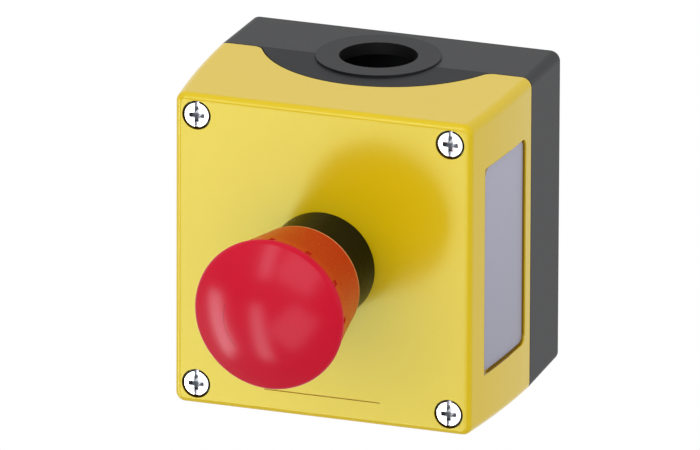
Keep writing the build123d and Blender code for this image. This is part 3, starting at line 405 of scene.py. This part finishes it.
def red_cap_plastic(settings):
    """Moulded signal-red plastic, polished in the mould: soft-edged reflections over a deep colour.

    A hairline of the mould's insert runs part of the way round the button's axis.
    """
    material = moulded(
        "gloss_signal_red_plastic", settings.cap_colour, roughness=0.22, grain_mm=1.2,
        grain_depth_mm=0.001, IOR=1.5, Specular_IOR_Level=0.165, Specular_Tint=(0.62, 0.88, 1.0, 1.0),
    )
    tree = material.node_tree
    place, parts = place_in(tree)
    away = from_axis(tree, place, (0, 0, 0), (1, 0, 1))
    radius, middle = settings.hairline_radius / MM, settings.hairline_middle / MM
    half_width, half_height = settings.hairline_width / 2 / MM, settings.hairline_height / 2 / MM
    line = within(
        tree, (away, radius - half_width, radius + half_width), (parts["X"], -settings.cap_radius / MM, 0),
        (parts["Z"], middle - half_height, middle + half_height),
    )
    shade = scaled(settings.cap_colour, 0.5)
    fade_to(tree, line, shade)
    return material


def grey_polyamide():
    """Unfilled grey polyamide of the hidden mechanism, satin and slightly waxy."""
    return moulded(
        "grey_polyamide", linear("#5B5D60"), roughness=0.42, grain_mm=0.4, grain_depth_mm=0.003, IOR=1.53
    )


def white_acetal():
    """Turned white acetal of the guides: dense, smooth and a little translucent at its edges."""
    return moulded(
        "white_acetal", linear("#E6E5DF"), roughness=0.3, grain_mm=0.8, grain_depth_mm=0.001, IOR=1.48
    )


def drawn_metal(name, dark, light, smooth, rough, line_mm):
    """Bright metal with fine lines from drawing or rolling."""
    material, tree, shader, place = new_material(name, Metallic=1.0)
    lines = add(
        tree, "ShaderNodeTexNoise", inputs={"Scale": per_metre(line_mm), "Detail": 4.0, "Distortion": 0.4},
        links={"Vector": place},
    )
    shade_between(tree, shader, lines.outputs["Fac"], linear(dark), linear(light))
    gloss_between(tree, shader, lines.outputs["Fac"], smooth, rough)
    relief(tree, shader, lines.outputs["Fac"], depth_mm=0.002)
    return material


def spring_wire():
    """Patented drawn wire with a thin grey oil film."""
    return drawn_metal("drawn_spring_wire", "#85878A", "#B4B6B8", smooth=0.25, rough=0.4, line_mm=0.5)


def turned_brass():
    """Free-cutting brass as it leaves the lathe."""
    return drawn_metal("turned_brass", "#C9A24C", "#E3C373", smooth=0.2, rough=0.32, line_mm=0.3)


def silver_strip():
    """Silver-faced copper strip, pressed and slightly tarnished."""
    return drawn_metal("silver_faced_strip", "#C9C7C0", "#EDECE8", smooth=0.22, rough=0.38, line_mm=0.6)


# --- Pieces ----------------------------------------------------------------------------------------
def added(name, data):
    """A new object of some data, in the scene."""
    thing = bpy.data.objects.new(name, data)
    bpy.context.scene.collection.objects.link(thing)
    return thing


def mesh_of(name, shape):
    """The mesh of a bmesh, which is used up."""
    mesh = bpy.data.meshes.new(name)
    shape.to_mesh(mesh)
    shape.free()
    return mesh


def finished(name, shape, body, material, slot, *nodes):
    """Makes a piece of a bmesh that rides on a body and stands for construction nodes."""
    mesh = mesh_of(name, shape)
    mesh.shade_smooth()
    mesh.materials.append(material)
    piece = added(name, mesh)
    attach(piece, body)
    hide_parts(*nodes)
    return piece


def keep_flats(piece):
    """Shades a smooth piece's flat faces flat."""
    flats = piece.modifiers.new("flat_faces", "WEIGHTED_NORMAL")
    flats.keep_sharp = True


def soften_edges(piece, width, segments=3):
    """Rounds every sharp edge a little, as moulding and tumbling do, and keeps the flats flat."""
    edge = piece.modifiers.new("edge_rounding", "BEVEL")
    edge.width = width
    edge.segments = segments
    edge.limit_method = "ANGLE"
    edge.angle_limit = EDGE_ANGLE
    keep_flats(piece)


def copy_of(node):
    """The merged shape of a construction node, with its flat faces whole."""
    shape = bmesh.new()
    shape.from_mesh(frame["nodes"][node].data)
    bmesh.ops.remove_doubles(shape, verts=shape.verts, dist=MERGE)
    bmesh.ops.dissolve_limit(shape, angle_limit=FLAT_ANGLE, verts=shape.verts, edges=shape.edges)
    return shape


def point(shape, radius, depth):
    """A vertex of an outline, which lies in the half-plane to the right of the button's axis."""
    return shape.verts.new((radius, -depth, 0))


def run(shape, last, *places):
    """Carries an outline on in straight lines through (radius, depth) places."""
    for radius, depth in places:
        following = point(shape, radius, depth)
        shape.edges.new((last, following))
        last = following
    return last


def bend(shape, last, centre, angle, steps):
    """Carries an outline on round a (radius, depth) centre, anticlockwise for a positive angle."""
    swept = bmesh.ops.spin(
        shape, geom=[last], cent=(centre[0], -centre[1], 0), axis=OUTLINE_NORMAL, angle=angle, steps=steps
    )
    return swept["geom_last"][0]


def flare(shape, last, through, end):
    """Carries an outline on along the circle through two (radius, depth) places."""
    start = Vector((last.co.x, -last.co.y))
    first, second = Vector(through) - start, Vector(end) - start
    twist = 2 * (first.x * second.y - first.y * second.x)
    reach = Vector((
        second.y * first.length_squared - first.y * second.length_squared,
        first.x * second.length_squared - second.x * first.length_squared,
    )) / twist
    centre = start + reach
    angle = (Vector(end) - centre).angle_signed(start - centre)
    return bend(shape, last, centre, -angle, FLARE_STEPS)


def round_corner(shape, corner, radius):
    """Rounds a corner of an outline where two lines meet squarely."""
    bmesh.ops.bevel(
        shape, geom=[corner], offset=radius, offset_type="OFFSET", segments=CORNER_STEPS, profile=0.5,
        affect="VERTICES", material=-1,
    )


def turned(shape):
    """Turns an outline into a solid of revolution about the button's axis."""
    bmesh.ops.spin(
        shape, geom=shape.verts[:] + shape.edges[:], cent=(0, 0, 0), axis=BUTTON_AXIS, angle=2 * math.pi,
        steps=ROUND_STEPS, use_merge=True,
    )
    bmesh.ops.remove_doubles(shape, verts=shape.verts, dist=MERGE)
    bmesh.ops.recalc_face_normals(shape, faces=shape.faces)
    return shape


def block(width, height, back, front, turn=0.0):
    """Box between two depths, turned about the button's axis."""
    shape = bmesh.new()
    place = (
        Matrix.Translation((0, -(back + front) / 2, 0)) @ Matrix.Rotation(turn, 4, "Y")
        @ Matrix.Diagonal((width, front - back, height, 1))
    )
    bmesh.ops.create_cube(shape, size=1, matrix=place)
    return shape


def joined(shapes, places=(Vector(),)):
    """One bmesh of several, repeated at places."""
    whole = bmesh.new()
    for shape in shapes:
        mesh = mesh_of("part", shape)
        for place in places:
            before = set(whole.verts)
            whole.from_mesh(mesh)
            bmesh.ops.translate(whole, verts=[v for v in whole.verts if v not in before], vec=place)
        bpy.data.meshes.remove(mesh)
    return whole


def cut(stock, cutter):
    """Takes closed shapes, which may cross each other, away from closed shapes."""
    kept, taken = added("stock", mesh_of("stock", stock)), added("cutter", mesh_of("cutter", cutter))
    away = kept.modifiers.new("cut", "BOOLEAN")
    away.operation = "DIFFERENCE"
    away.solver = "EXACT"
    away.use_self = True
    away.object = taken
    bpy.context.view_layer.update()
    evaluated = kept.evaluated_get(bpy.context.evaluated_depsgraph_get())
    result = bmesh.new()
    result.from_mesh(evaluated.to_mesh())
    for thing in (kept, taken):
        mesh = thing.data
        bpy.data.objects.remove(thing)
        bpy.data.meshes.remove(mesh)
    bmesh.ops.remove_doubles(result, verts=result.verts, dist=MERGE)
    return result


def depths(node):
    """How far in front of the wall a construction node starts and ends."""
    low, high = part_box(node)
    return -high.y, -low.y


def screw_places(node, head_radius):
    """Axes of four screws, each in a quarter of the front, from how far their heads reach."""
    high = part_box(node)[1]
    x, z = high.x - head_radius, high.z - head_radius
    return [Vector((side * x, 0, end * z)) for side in (-1, 1) for end in (-1, 1)]


def dome_outline(shape, settings, back, inset):
    """Draws the crown and shoulder of the cap, drawn in by an inset, from its top to its back."""
    behind, shoulder = settings.cap_shoulder_behind, settings.cap_shoulder_radius
    middle = settings.cap_radius - math.sqrt(shoulder ** 2 - behind ** 2)
    reach = settings.cap_crown_radius - shoulder
    crown_angle = math.asin(middle / reach)
    crown_depth = back - behind - reach * math.cos(crown_angle)
    rim_angle = math.acos(behind / (shoulder - inset))
    start = point(shape, 0, crown_depth + settings.cap_crown_radius - inset)
    last = bend(shape, start, (0, crown_depth), crown_angle, DOME_STEPS)
    return bend(shape, last, (middle, back - behind), rim_angle - crown_angle, SHOULDER_STEPS)


def skin_of(face, settings):
    """Which skin a face of the base has: 0 in general, 1 on the tongues and 2 on the entries' pads."""
    level = abs(face.normal.z) > LEVEL and face.calc_area() > settings.edge_rounding ** 2
    if not level:
        return 0
    axis = Vector((0, -settings.entry_depth, 0))
    reach = max(((vertex.co - axis) * Vector((1, 1, 0))).length for vertex in face.verts)
    if reach < settings.pad_radius + settings.edge_rounding:
        return 2
    back = max(vertex.co.y for vertex in face.verts)
    return 1 if back < settings.edge_rounding - settings.seam_depth else 0


# --- Settings ---------------------------------------------------------------------------------------
def length(name, description, default_mm):
    """A size, which isn't negative."""
    return bpy.props.FloatProperty(
        name=name, description=description, default=default_mm * MM, min=0, unit="LENGTH", precision=5
    )


def offset(name, description, default_mm):
    """A place along an axis, on either side of zero."""
    return bpy.props.FloatProperty(
        name=name, description=description, default=default_mm * MM, unit="LENGTH", precision=5
    )


def tint(name, description, code):
    """A colour, given as sRGB."""
    return bpy.props.FloatVectorProperty(
        name=name, description=description, default=linear(code), subtype="COLOR", size=3, min=0, max=1
    )


def angle(name, description, degrees):
    """A turn, given in degrees."""
    return bpy.props.FloatProperty(
        name=name, description=description, default=math.radians(degrees), subtype="ANGLE"
    )


class StopCaseSettings(bpy.types.PropertyGroup):
    """Case, screws and label."""

    cover_colour: tint("Cover colour", "Colour of the moulded cover", "#EAC70A")
    base_colour: tint("Base colour", "Colour of the moulded base", "#1A1B1E")
    label_colour: tint("Label colour", "Colour of the bare side label", "#B3B2C6")
    seam_depth: length("Seam", "Depth of the seam between base and cover", 24.1)
    label_high: length("Label half height", "From the label's middle to its upper end", 27.5)
    entry_depth: length("Entry place", "Depth of the cable entries' axis", 21.3)
    entry_radius: length("Entry radius", "Radius of a cable entry", 10.15)
    pad_radius: length("Pad radius", "Radius of the flat pad round an entry", 16.2)
    groove_level: offset("Groove level", "Height of the groove across the front", -35.85)
    groove_width: length("Groove width", "Width of that groove", 0.4)
    groove_length: length("Groove length", "Length of that groove", 31.3)
    label_gap: length("Label gap", "Gap between the label and its recess", 0.5)
    screw_well: length("Screw well", "Radius of the well round a cover screw's head", 3.88)
    edge_rounding: length("Edge rounding", "Radius on the case's small edges", 0.15)
    head_radius: length("Screw head", "Radius of a cover screw's head", 3.36)
    head_height: length("Screw head height", "Height of that head", 2.6)
    head_edge: length("Screw head edge", "Radius round the head's edge", 0.3)
    shank_radius: length("Screw shank", "Radius of a cover screw's shank", 2.0)
    slot_width: length("Slot width", "Width of the slot across the head", 1.0)
    slot_depth: length("Slot depth", "Depth of that slot", 0.9)
    cross_length: length("Cross length", "Span of the cross recess", 4.1)
    cross_width: length("Cross width", "Width of the cross recess's wings", 1.15)
    cross_depth: length("Cross depth", "Depth of the cross recess", 1.7)
    tick_width: length("Tick width", "Width of the marks between the wings", 0.16)
    tick_length: length("Tick length", "Span of those marks", 5.2)
    tick_depth: length("Tick depth", "Depth of those marks", 0.2)


class StopActuatorSettings(bpy.types.PropertyGroup):
    """Collar, skirt and mushroom cap."""

    collar_colour: tint("Collar colour", "Colour of the fixed collar", "#040302")
    collar_edge: length("Collar edge", "Rounding of the collar's edges", 0.15)
    skirt_colour: tint("Skirt colour", "Colour of the skirt under the cap", "#C4100F")
    skirt_back: length("Skirt back", "Radius of the skirt's back edge", 15.8)
    skirt_bore: length("Skirt bore", "Radius inside the skirt's back edge", 14.5)
    skirt_waist: length("Skirt waist", "Radius where the skirt starts to flare", 17.6)
    skirt_waist_place: length("Waist place", "From the skirt's back edge to its waist", 11.6)
    skirt_rim: length("Skirt rim", "Radius of the skirt under the cap", 19.75)
    skirt_seat: length("Skirt seat", "Radius of the seat inside the rim", 18.45)
    skirt_lip: length("Skirt lip", "Lip behind that seat", 0.6)
    skirt_seat_height: length("Seat height", "Height of that seat", 1.6)
    skirt_wall: length("Skirt wall", "Wall thickness of the skirt", 1.3)
    skirt_edge: length("Skirt edge", "Rounding of the skirt's back edge", 0.25)
    notch_width: length("Notch width", "Width of a notch in the skirt's rim", 1.4)
    notch_length: length("Notch length", "Length of that notch", 3.3)
    notch_depth: length("Notch depth", "How deep that notch goes into the rim", 0.9)
    notch_count: bpy.props.IntProperty(name="Notches", description="Notches round the rim", default=12, min=1)
    rim_fade_start: length("Rim fade start", "Behind the rim, where its orange tone starts", 5.5)
    rim_fade_end: length("Rim fade end", "Behind the rim, where that tone is full", 2.5)
    # The pale band on the skirt's back edge is a painted highlight.
    highlight_band: length("Worn edge", "Width of the pale band on the skirt's back edge", 0.8)
    cap_colour: tint("Cap colour", "Colour of the mushroom cap", "#D6042C")
    cap_radius: length("Cap radius", "Radius of the mushroom cap", 20.0)
    cap_crown_radius: length("Cap crown", "Radius of the cap's dome", 36.6)
    cap_shoulder_radius: length("Shoulder radius", "Radius that rounds the dome into the rim", 2.0)
    cap_shoulder_behind: length("Shoulder place", "From the cap's back to that rounding's middle", 0.2)
    cap_wall: length("Cap wall", "Wall thickness of the cap", 1.6)
    cap_rim_radius: length("Cap rim", "Radius of the cap's back edge", 0.25)
    hairline_radius: length("Hairline", "Radius of the insert's hairline on the cap", 10.5)
    hairline_middle: offset("Hairline middle", "Height of the middle of that hairline", -2.1)
    hairline_height: length("Hairline height", "From its lower to its upper end", 11.0)
    hairline_width: length("Hairline width", "Width of that hairline", 0.14)


class StopStageSettings(bpy.types.PropertyGroup):
    """Camera, floor and distance of the lamps."""

    azimuth: angle("Azimuth", "Camera's turn from straight in front", 19.285)
    elevation: angle("Elevation", "Camera's height above level", 19.215)
    roll: angle("Roll", "Camera's turn about its own axis, clockwise", 0.237)
    view_width: length("View width", "Width of the picture at the station", 180.37)
    aim_right: offset("Aim right", "Middle of the picture, right of the origin", -14.199)
    aim_up: offset("Aim up", "Middle of the picture, above the origin", -9.651)
    distance: length("Distance", "Camera's distance, long for a nearly parallel view", 5450)
    floor_drop: length("Floor drop", "How far the floor lies below the station's middle", 900)
    floor_size: length("Floor size", "Width of the floor", 1600)
    lamp_distance: length("Lamp distance", "Distance of the soft lamps from the station", 2500)


# --- Stage -----------------------------------------------------------------------------------------
# Soft lamps as the station sees them: azimuth to its right, elevation, width, height, turn anticlockwise
# about the lamp's own middle, all in degrees, and radiance.
LAMPS = {
    "key_softbox": (-45, 35, 50, 50, 0, 0.6),
    "front_softbox": (0, 20, 60, 50, 0, 0.45),
    "top_softbox": (0, 80, 60, 50, 0, 0.3),
    "right_softbox": (75, 20, 40, 50, 0, 0.5),
    "left_strip": (-57.5, -33, 13, 56, 0, 8.0),
    "middle_strip": (-21.5, -29, 9, 46, 0, 6.3),
    "broad_strip": (7, -21, 25, 32, -38, 2.4),
    "upper_strip": (-17.5, 32, 9, 34, 0, 5.0),
    "upper_broad": (12, 23, 32, 28, -30, 2.5),
}
# Strips that only glossy surfaces show, and softboxes that they don't.
ONLY_REFLECTED = ("left_strip", "middle_strip", "broad_strip", "upper_strip", "upper_broad")
NOT_REFLECTED = ("key_softbox", "front_softbox")
FILL_LIGHT = 0.57           # the world's even light on the station
LAMP_POWER = 4              # power of a square metre of lamp that has a radiance of one


def direction(azimuth, elevation):
    """Unit vector towards an azimuth to the right of straight in front, and an elevation."""
    return Vector((
        math.sin(azimuth) * math.cos(elevation), -math.cos(azimuth) * math.cos(elevation),
        math.sin(elevation),
    ))


def make_lamps(settings):
    """Rectangular soft lamps on a sphere about the station."""
    for name, (azimuth, elevation, width, height, turn, radiance) in LAMPS.items():
        towards = direction(math.radians(azimuth), math.radians(elevation))
        lamp = bpy.data.lights.new(name, "AREA")
        lamp.shape = "RECTANGLE"
        lamp.size = 2 * settings.lamp_distance * math.tan(math.radians(width) / 2)
        lamp.size_y = 2 * settings.lamp_distance * math.tan(math.radians(height) / 2)
        lamp.energy = radiance * LAMP_POWER * lamp.size * lamp.size_y
        holder = added(name, lamp)
        holder.location = towards * settings.lamp_distance
        own_turn = Quaternion((0, 0, 1), math.radians(turn))
        holder.rotation_euler = (towards.to_track_quat("Z", "Y") @ own_turn).to_euler()
        holder.visible_camera = False
        holder.visible_diffuse = name not in ONLY_REFLECTED
        holder.visible_glossy = name not in NOT_REFLECTED


def make_background():
    """White to the camera and in reflections, and an even grey light for everything else."""
    world = bpy.data.worlds.new("studio")
    bpy.context.scene.world = world
    world.use_nodes = True
    tree = world.node_tree
    tree.nodes.clear()
    path = add(tree, "ShaderNodeLightPath")
    mirrored = add(
        tree, "ShaderNodeMath", operation="MAXIMUM",
        links={0: path.outputs["Is Glossy Ray"], 1: path.outputs["Is Transmission Ray"]},
    )
    seen = add(
        tree, "ShaderNodeMath", operation="MAXIMUM",
        links={0: path.outputs["Is Camera Ray"], 1: mirrored.outputs["Value"]},
    )
    fill = add(tree, "ShaderNodeBackground", inputs={"Color": (1, 1, 1, 1), "Strength": FILL_LIGHT})
    white = add(tree, "ShaderNodeBackground", inputs={"Color": (1, 1, 1, 1), "Strength": 1.0})
    either = add(
        tree, "ShaderNodeMixShader",
        links={0: seen.outputs["Value"], 1: fill.outputs["Background"], 2: white.outputs["Background"]},
    )
    add(tree, "ShaderNodeOutputWorld", links={"Surface": either.outputs["Shader"]})


def make_floor(settings):
    """Plain pale floor that takes the station's soft shadow."""
    shape = bmesh.new()
    below = Matrix.Translation((0, 0, -settings.floor_drop))
    bmesh.ops.create_grid(
        shape, x_segments=1, y_segments=1, size=settings.floor_size / 2, matrix=below
    )
    mesh = mesh_of("floor", shape)
    mesh.materials.append(moulded(
        "pale_floor", linear("#F7F7F5"), roughness=0.8, grain_mm=3, grain_depth_mm=0.01, flow_mm=400
    ))
    floor = added("floor", mesh)


def make_camera(settings):
    """Camera with a very long lens, above and to the right of the station."""
    back = direction(settings.azimuth, settings.elevation)
    right = Vector((0, 0, 1)).cross(back).normalized()
    right.rotate(Quaternion(back, settings.roll))
    up = back.cross(right)
    camera = bpy.data.cameras.new("camera")
    camera.lens = camera.sensor_width * settings.distance / settings.view_width
    camera.clip_end = 2 * (settings.distance + settings.floor_size)
    holder = added("camera", camera)
    place = right * settings.aim_right + up * settings.aim_up + back * settings.distance
    turn = Matrix((right, up, back)).transposed().to_4x4()
    holder.matrix_world = Matrix.Translation(place) @ turn
    bpy.context.scene.camera = holder


# --- Operators ---------------------------------------------------------------------------------------
class STOP_OT_case(bpy.types.Operator):
    """Dress the yellow cover, the black base and the rubber seals"""

    bl_idname = "stop_station.case"
    bl_label = "Case"

    def execute(self, context):
        settings = context.scene.stop_case
        cover = finished(
            "cover", copy_of("enclosure_cover"), "case", yellow_polycarbonate(settings), "yellow_case",
            "enclosure_cover",
        )
        soften_edges(cover, settings.edge_rounding)
        shape = copy_of("enclosure_base")
        for face in shape.faces:
            face.material_index = skin_of(face, settings)
        base = finished(
            "base", shape, "case", black_polyamide(settings), "black_case", "enclosure_base"
        )
        base.data.materials.append(black_polyamide(settings, "tongue", shine=0.12))
        base.data.materials.append(black_polyamide(settings, "pad", shine=0.19))
        soften_edges(base, settings.edge_rounding)
        rubber = nitrile_rubber()
        for node in ("cover_gasket", "collar_seal"):
            seal = finished(f"{node}_ring", copy_of(node), "case", rubber, "rubber", node)
            soften_edges(seal, settings.edge_rounding)
        return {"FINISHED"}


class STOP_OT_label(bpy.types.Operator):
    """Lay the bare foil label in its recess"""

    bl_idname = "stop_station.label"
    bl_label = "Side label"

    def execute(self, context):
        settings = context.scene.stop_case
        label = finished(
            "label", copy_of("side_label"), "case", label_foil(settings), "label_foil", "side_label"
        )
        soften_edges(label, settings.edge_rounding / 4)
        return {"FINISHED"}


class STOP_OT_screws(bpy.types.Operator):
    """Turn the four cover screws and cut their slots and cross recesses"""

    bl_idname = "stop_station.screws"
    bl_label = "Cover screws"

    def execute(self, context):
        settings = context.scene.stop_case
        tip, front = depths("cover_screws")
        seat = front - settings.head_height
        outline = bmesh.new()
        start = point(outline, 0, front)
        corner = run(outline, start, (settings.head_radius, front))
        run(
            outline, corner, (settings.head_radius, seat), (settings.shank_radius, seat),
            (settings.shank_radius, tip), (0, tip),
        )
        round_corner(outline, corner, settings.head_edge)
        over = front + settings.head_edge
        across = 2 * settings.head_radius + settings.head_edge
        floor = front - settings.cross_depth
        recesses = [
            block(settings.slot_width, across, front - settings.slot_depth, over),
            block(settings.cross_width, settings.cross_length, floor, over + CUT_STEP),
            block(settings.cross_length, settings.cross_width, floor, over + 2 * CUT_STEP),
        ]
        for quarter in (1, 3):
            recesses.append(block(
                settings.tick_width, settings.tick_length, front - settings.tick_depth, over + 3 * CUT_STEP,
                turn=quarter * math.pi / 4,
            ))
        places = screw_places("cover_screws", settings.head_radius)
        shape = cut(joined([turned(outline)], places), joined(recesses, places))
        screws = finished("screws", shape, "case", plated_screw(front), "zinc_steel", "cover_screws")
        soften_edges(screws, settings.tick_width / 4, segments=2)
        return {"FINISHED"}


class STOP_OT_collar(bpy.types.Operator):
    """Dress the fixed collar that guides the button"""

    bl_idname = "stop_station.collar"
    bl_label = "Collar"

    def execute(self, context):
        settings = context.scene.stop_actuator
        collar = finished(
            "collar", copy_of("actuator_collar"), "case", black_collar_plastic(settings), "black_actuator",
            "actuator_collar",
        )
        soften_edges(collar, settings.collar_edge)
        return {"FINISHED"}


class STOP_OT_skirt(bpy.types.Operator):
    """Turn the flared skirt and cut the notches in its rim"""

    bl_idname = "stop_station.skirt"
    bl_label = "Skirt"

    def execute(self, context):
        settings = context.scene.stop_actuator
        back, rim = depths("cap_skirt")
        waist = back + settings.skirt_waist_place
        seat_back = rim - settings.skirt_seat_height
        outline = bmesh.new()
        start = point(outline, settings.skirt_bore, back)
        corner = run(outline, start, (settings.skirt_back, back))
        last = flare(
            outline, corner, (settings.skirt_waist, waist), (settings.skirt_rim, rim)
        )
        last = run(
            outline, last, (settings.skirt_seat, rim), (settings.skirt_seat, seat_back),
            (settings.skirt_seat - settings.skirt_lip, seat_back),
        )
        last = flare(
            outline, last, (settings.skirt_waist - settings.skirt_wall, waist),
            (settings.skirt_bore, back),
        )
        round_corner(outline, corner, settings.skirt_edge)
        bmesh.ops.remove_doubles(outline, verts=outline.verts, dist=MERGE)
        notches = []
        floor, over = rim - settings.notch_length, rim + CUT_STEP
        for place in range(settings.notch_count):
            notch = block(settings.notch_width, 2 * settings.notch_depth, floor, over)
            bmesh.ops.translate(notch, verts=notch.verts, vec=(0, 0, settings.skirt_rim))
            turn = Matrix.Rotation(2 * math.pi * place / settings.notch_count, 3, "Y")
            bmesh.ops.rotate(notch, verts=notch.verts, cent=(0, 0, 0), matrix=turn)
            notches.append(notch)
        shape = cut(turned(outline), joined(notches))
        skirt = finished(
            "skirt", shape, "head", orange_skirt_plastic(settings), "orange_skirt", "cap_skirt"
        )
        soften_edges(skirt, settings.skirt_edge / 4, segments=2)
        return {"FINISHED"}


class STOP_OT_cap(bpy.types.Operator):
    """Turn the mushroom cap"""

    bl_idname = "stop_station.cap"
    bl_label = "Mushroom cap"

    def execute(self, context):
        settings = context.scene.stop_actuator
        back = depths("mushroom_cap")[0]
        outline = bmesh.new()
        rim = dome_outline(outline, settings, back, inset=0)
        inner_rim = dome_outline(outline, settings, back, inset=settings.cap_wall)
        outline.edges.new((rim, inner_rim))
        round_corner(outline, rim, settings.cap_rim_radius)
        cap = finished(
            "cap", turned(outline), "head", red_cap_plastic(settings), "red_cap", "mushroom_cap"
        )
        keep_flats(cap)
        return {"FINISHED"}


class STOP_OT_coils(bpy.types.Operator):
    """Copy the coils that get shorter as the button goes in, each into a mesh of its own"""

    bl_idname = "stop_station.coils"
    bl_label = "Coils"

    def execute(self, context):
        behaviour = frame["record"]["behaviour"]
        bodies = {node: body for body, nodes in behaviour["bodies"].items() for node in nodes}
        wire = ready("drawn_spring_wire", spring_wire)
        for node, (joint, axis, still) in COILS.items():
            piece = finished(f"{node}_coil", copy_of(node), bodies[node], wire, "spring_steel", node)
            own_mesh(piece)
        return {"FINISHED"}


class STOP_OT_mechanism(bpy.types.Operator):
    """Give every construction solid inside the case the finish of the real one"""

    bl_idname = "stop_station.mechanism"
    bl_label = "Mechanism and contacts"

    def execute(self, context):
        case, actuator = context.scene.stop_case, context.scene.stop_actuator
        finishes = {
            "black_case": ready("glass_filled_polyamide_case", black_polyamide, case),
            "black_actuator": ready("polished_black_plastic", black_collar_plastic, actuator),
            "red_cap": ready("gloss_signal_red_plastic", red_cap_plastic, actuator),
            "zinc_steel": zinc_plated_steel(),
            "grey_plastic": grey_polyamide(),
            "white_plastic": white_acetal(),
            "spring_steel": ready("drawn_spring_wire", spring_wire),
            "brass": turned_brass(),
            "silver_contact": silver_strip(),
        }
        for part in frame["record"]["subparts"]:
            node = frame["nodes"][part["node"]]
            if node.hide_render:
                continue
            if not node.material_slots:
                raise RuntimeError(f"{part['node']} has no material slot")
            for place in node.material_slots:
                place.material = finishes[part["material_slot"]]
        return {"FINISHED"}


class STOP_OT_stage(bpy.types.Operator):
    """Set the floor, the lamps, the background and the camera"""

    bl_idname = "stop_station.stage"
    bl_label = "Stage"

    def execute(self, context):
        settings = context.scene.stop_stage
        make_background()
        make_floor(settings)
        make_lamps(settings)
        make_camera(settings)
        context.scene.view_settings.view_transform = "Standard"
        return {"FINISHED"}


# --- Add-on ------------------------------------------------------------------------------------------
SETTINGS = {
    "stop_case": StopCaseSettings,
    "stop_actuator": StopActuatorSettings,
    "stop_stage": StopStageSettings,
}
OPERATORS = (
    STOP_OT_case, STOP_OT_label, STOP_OT_screws, STOP_OT_collar, STOP_OT_skirt, STOP_OT_cap,
    STOP_OT_coils, STOP_OT_mechanism, STOP_OT_stage,
)


class STOP_PT_station(bpy.types.Panel):
    """Settings and steps of the emergency stop station"""

    bl_idname = "STOP_PT_station"
    bl_label = "Emergency stop station"
    bl_space_type = "VIEW_3D"
    bl_region_type = "UI"
    bl_category = "Stop station"

    def draw(self, context):
        for name, group in SETTINGS.items():
            box = self.layout.box()
            for setting in group.__annotations__:
                box.prop(getattr(context.scene, name), setting)
        for operator in OPERATORS:
            self.layout.operator(operator.bl_idname)


def register():
    """Adds the settings to the scene, and the operators and the panel to Blender."""
    for group in SETTINGS.values():
        bpy.utils.register_class(group)
    for name, group in SETTINGS.items():
        setattr(bpy.types.Scene, name, bpy.props.PointerProperty(type=group))
    for operator in OPERATORS:
        bpy.utils.register_class(operator)
    bpy.utils.register_class(STOP_PT_station)


def unregister():
    """Takes away what register adds."""
    bpy.utils.unregister_class(STOP_PT_station)
    for operator in reversed(OPERATORS):
        bpy.utils.unregister_class(operator)
    for name, group in SETTINGS.items():
        delattr(bpy.types.Scene, name)
        bpy.utils.unregister_class(group)


def main():
    """Runs every step in order."""
    register()
    for operator in OPERATORS:
        family, step = operator.bl_idname.split(".")
        getattr(getattr(bpy.ops, family), step)()


if __name__ == "__main__":
    main()
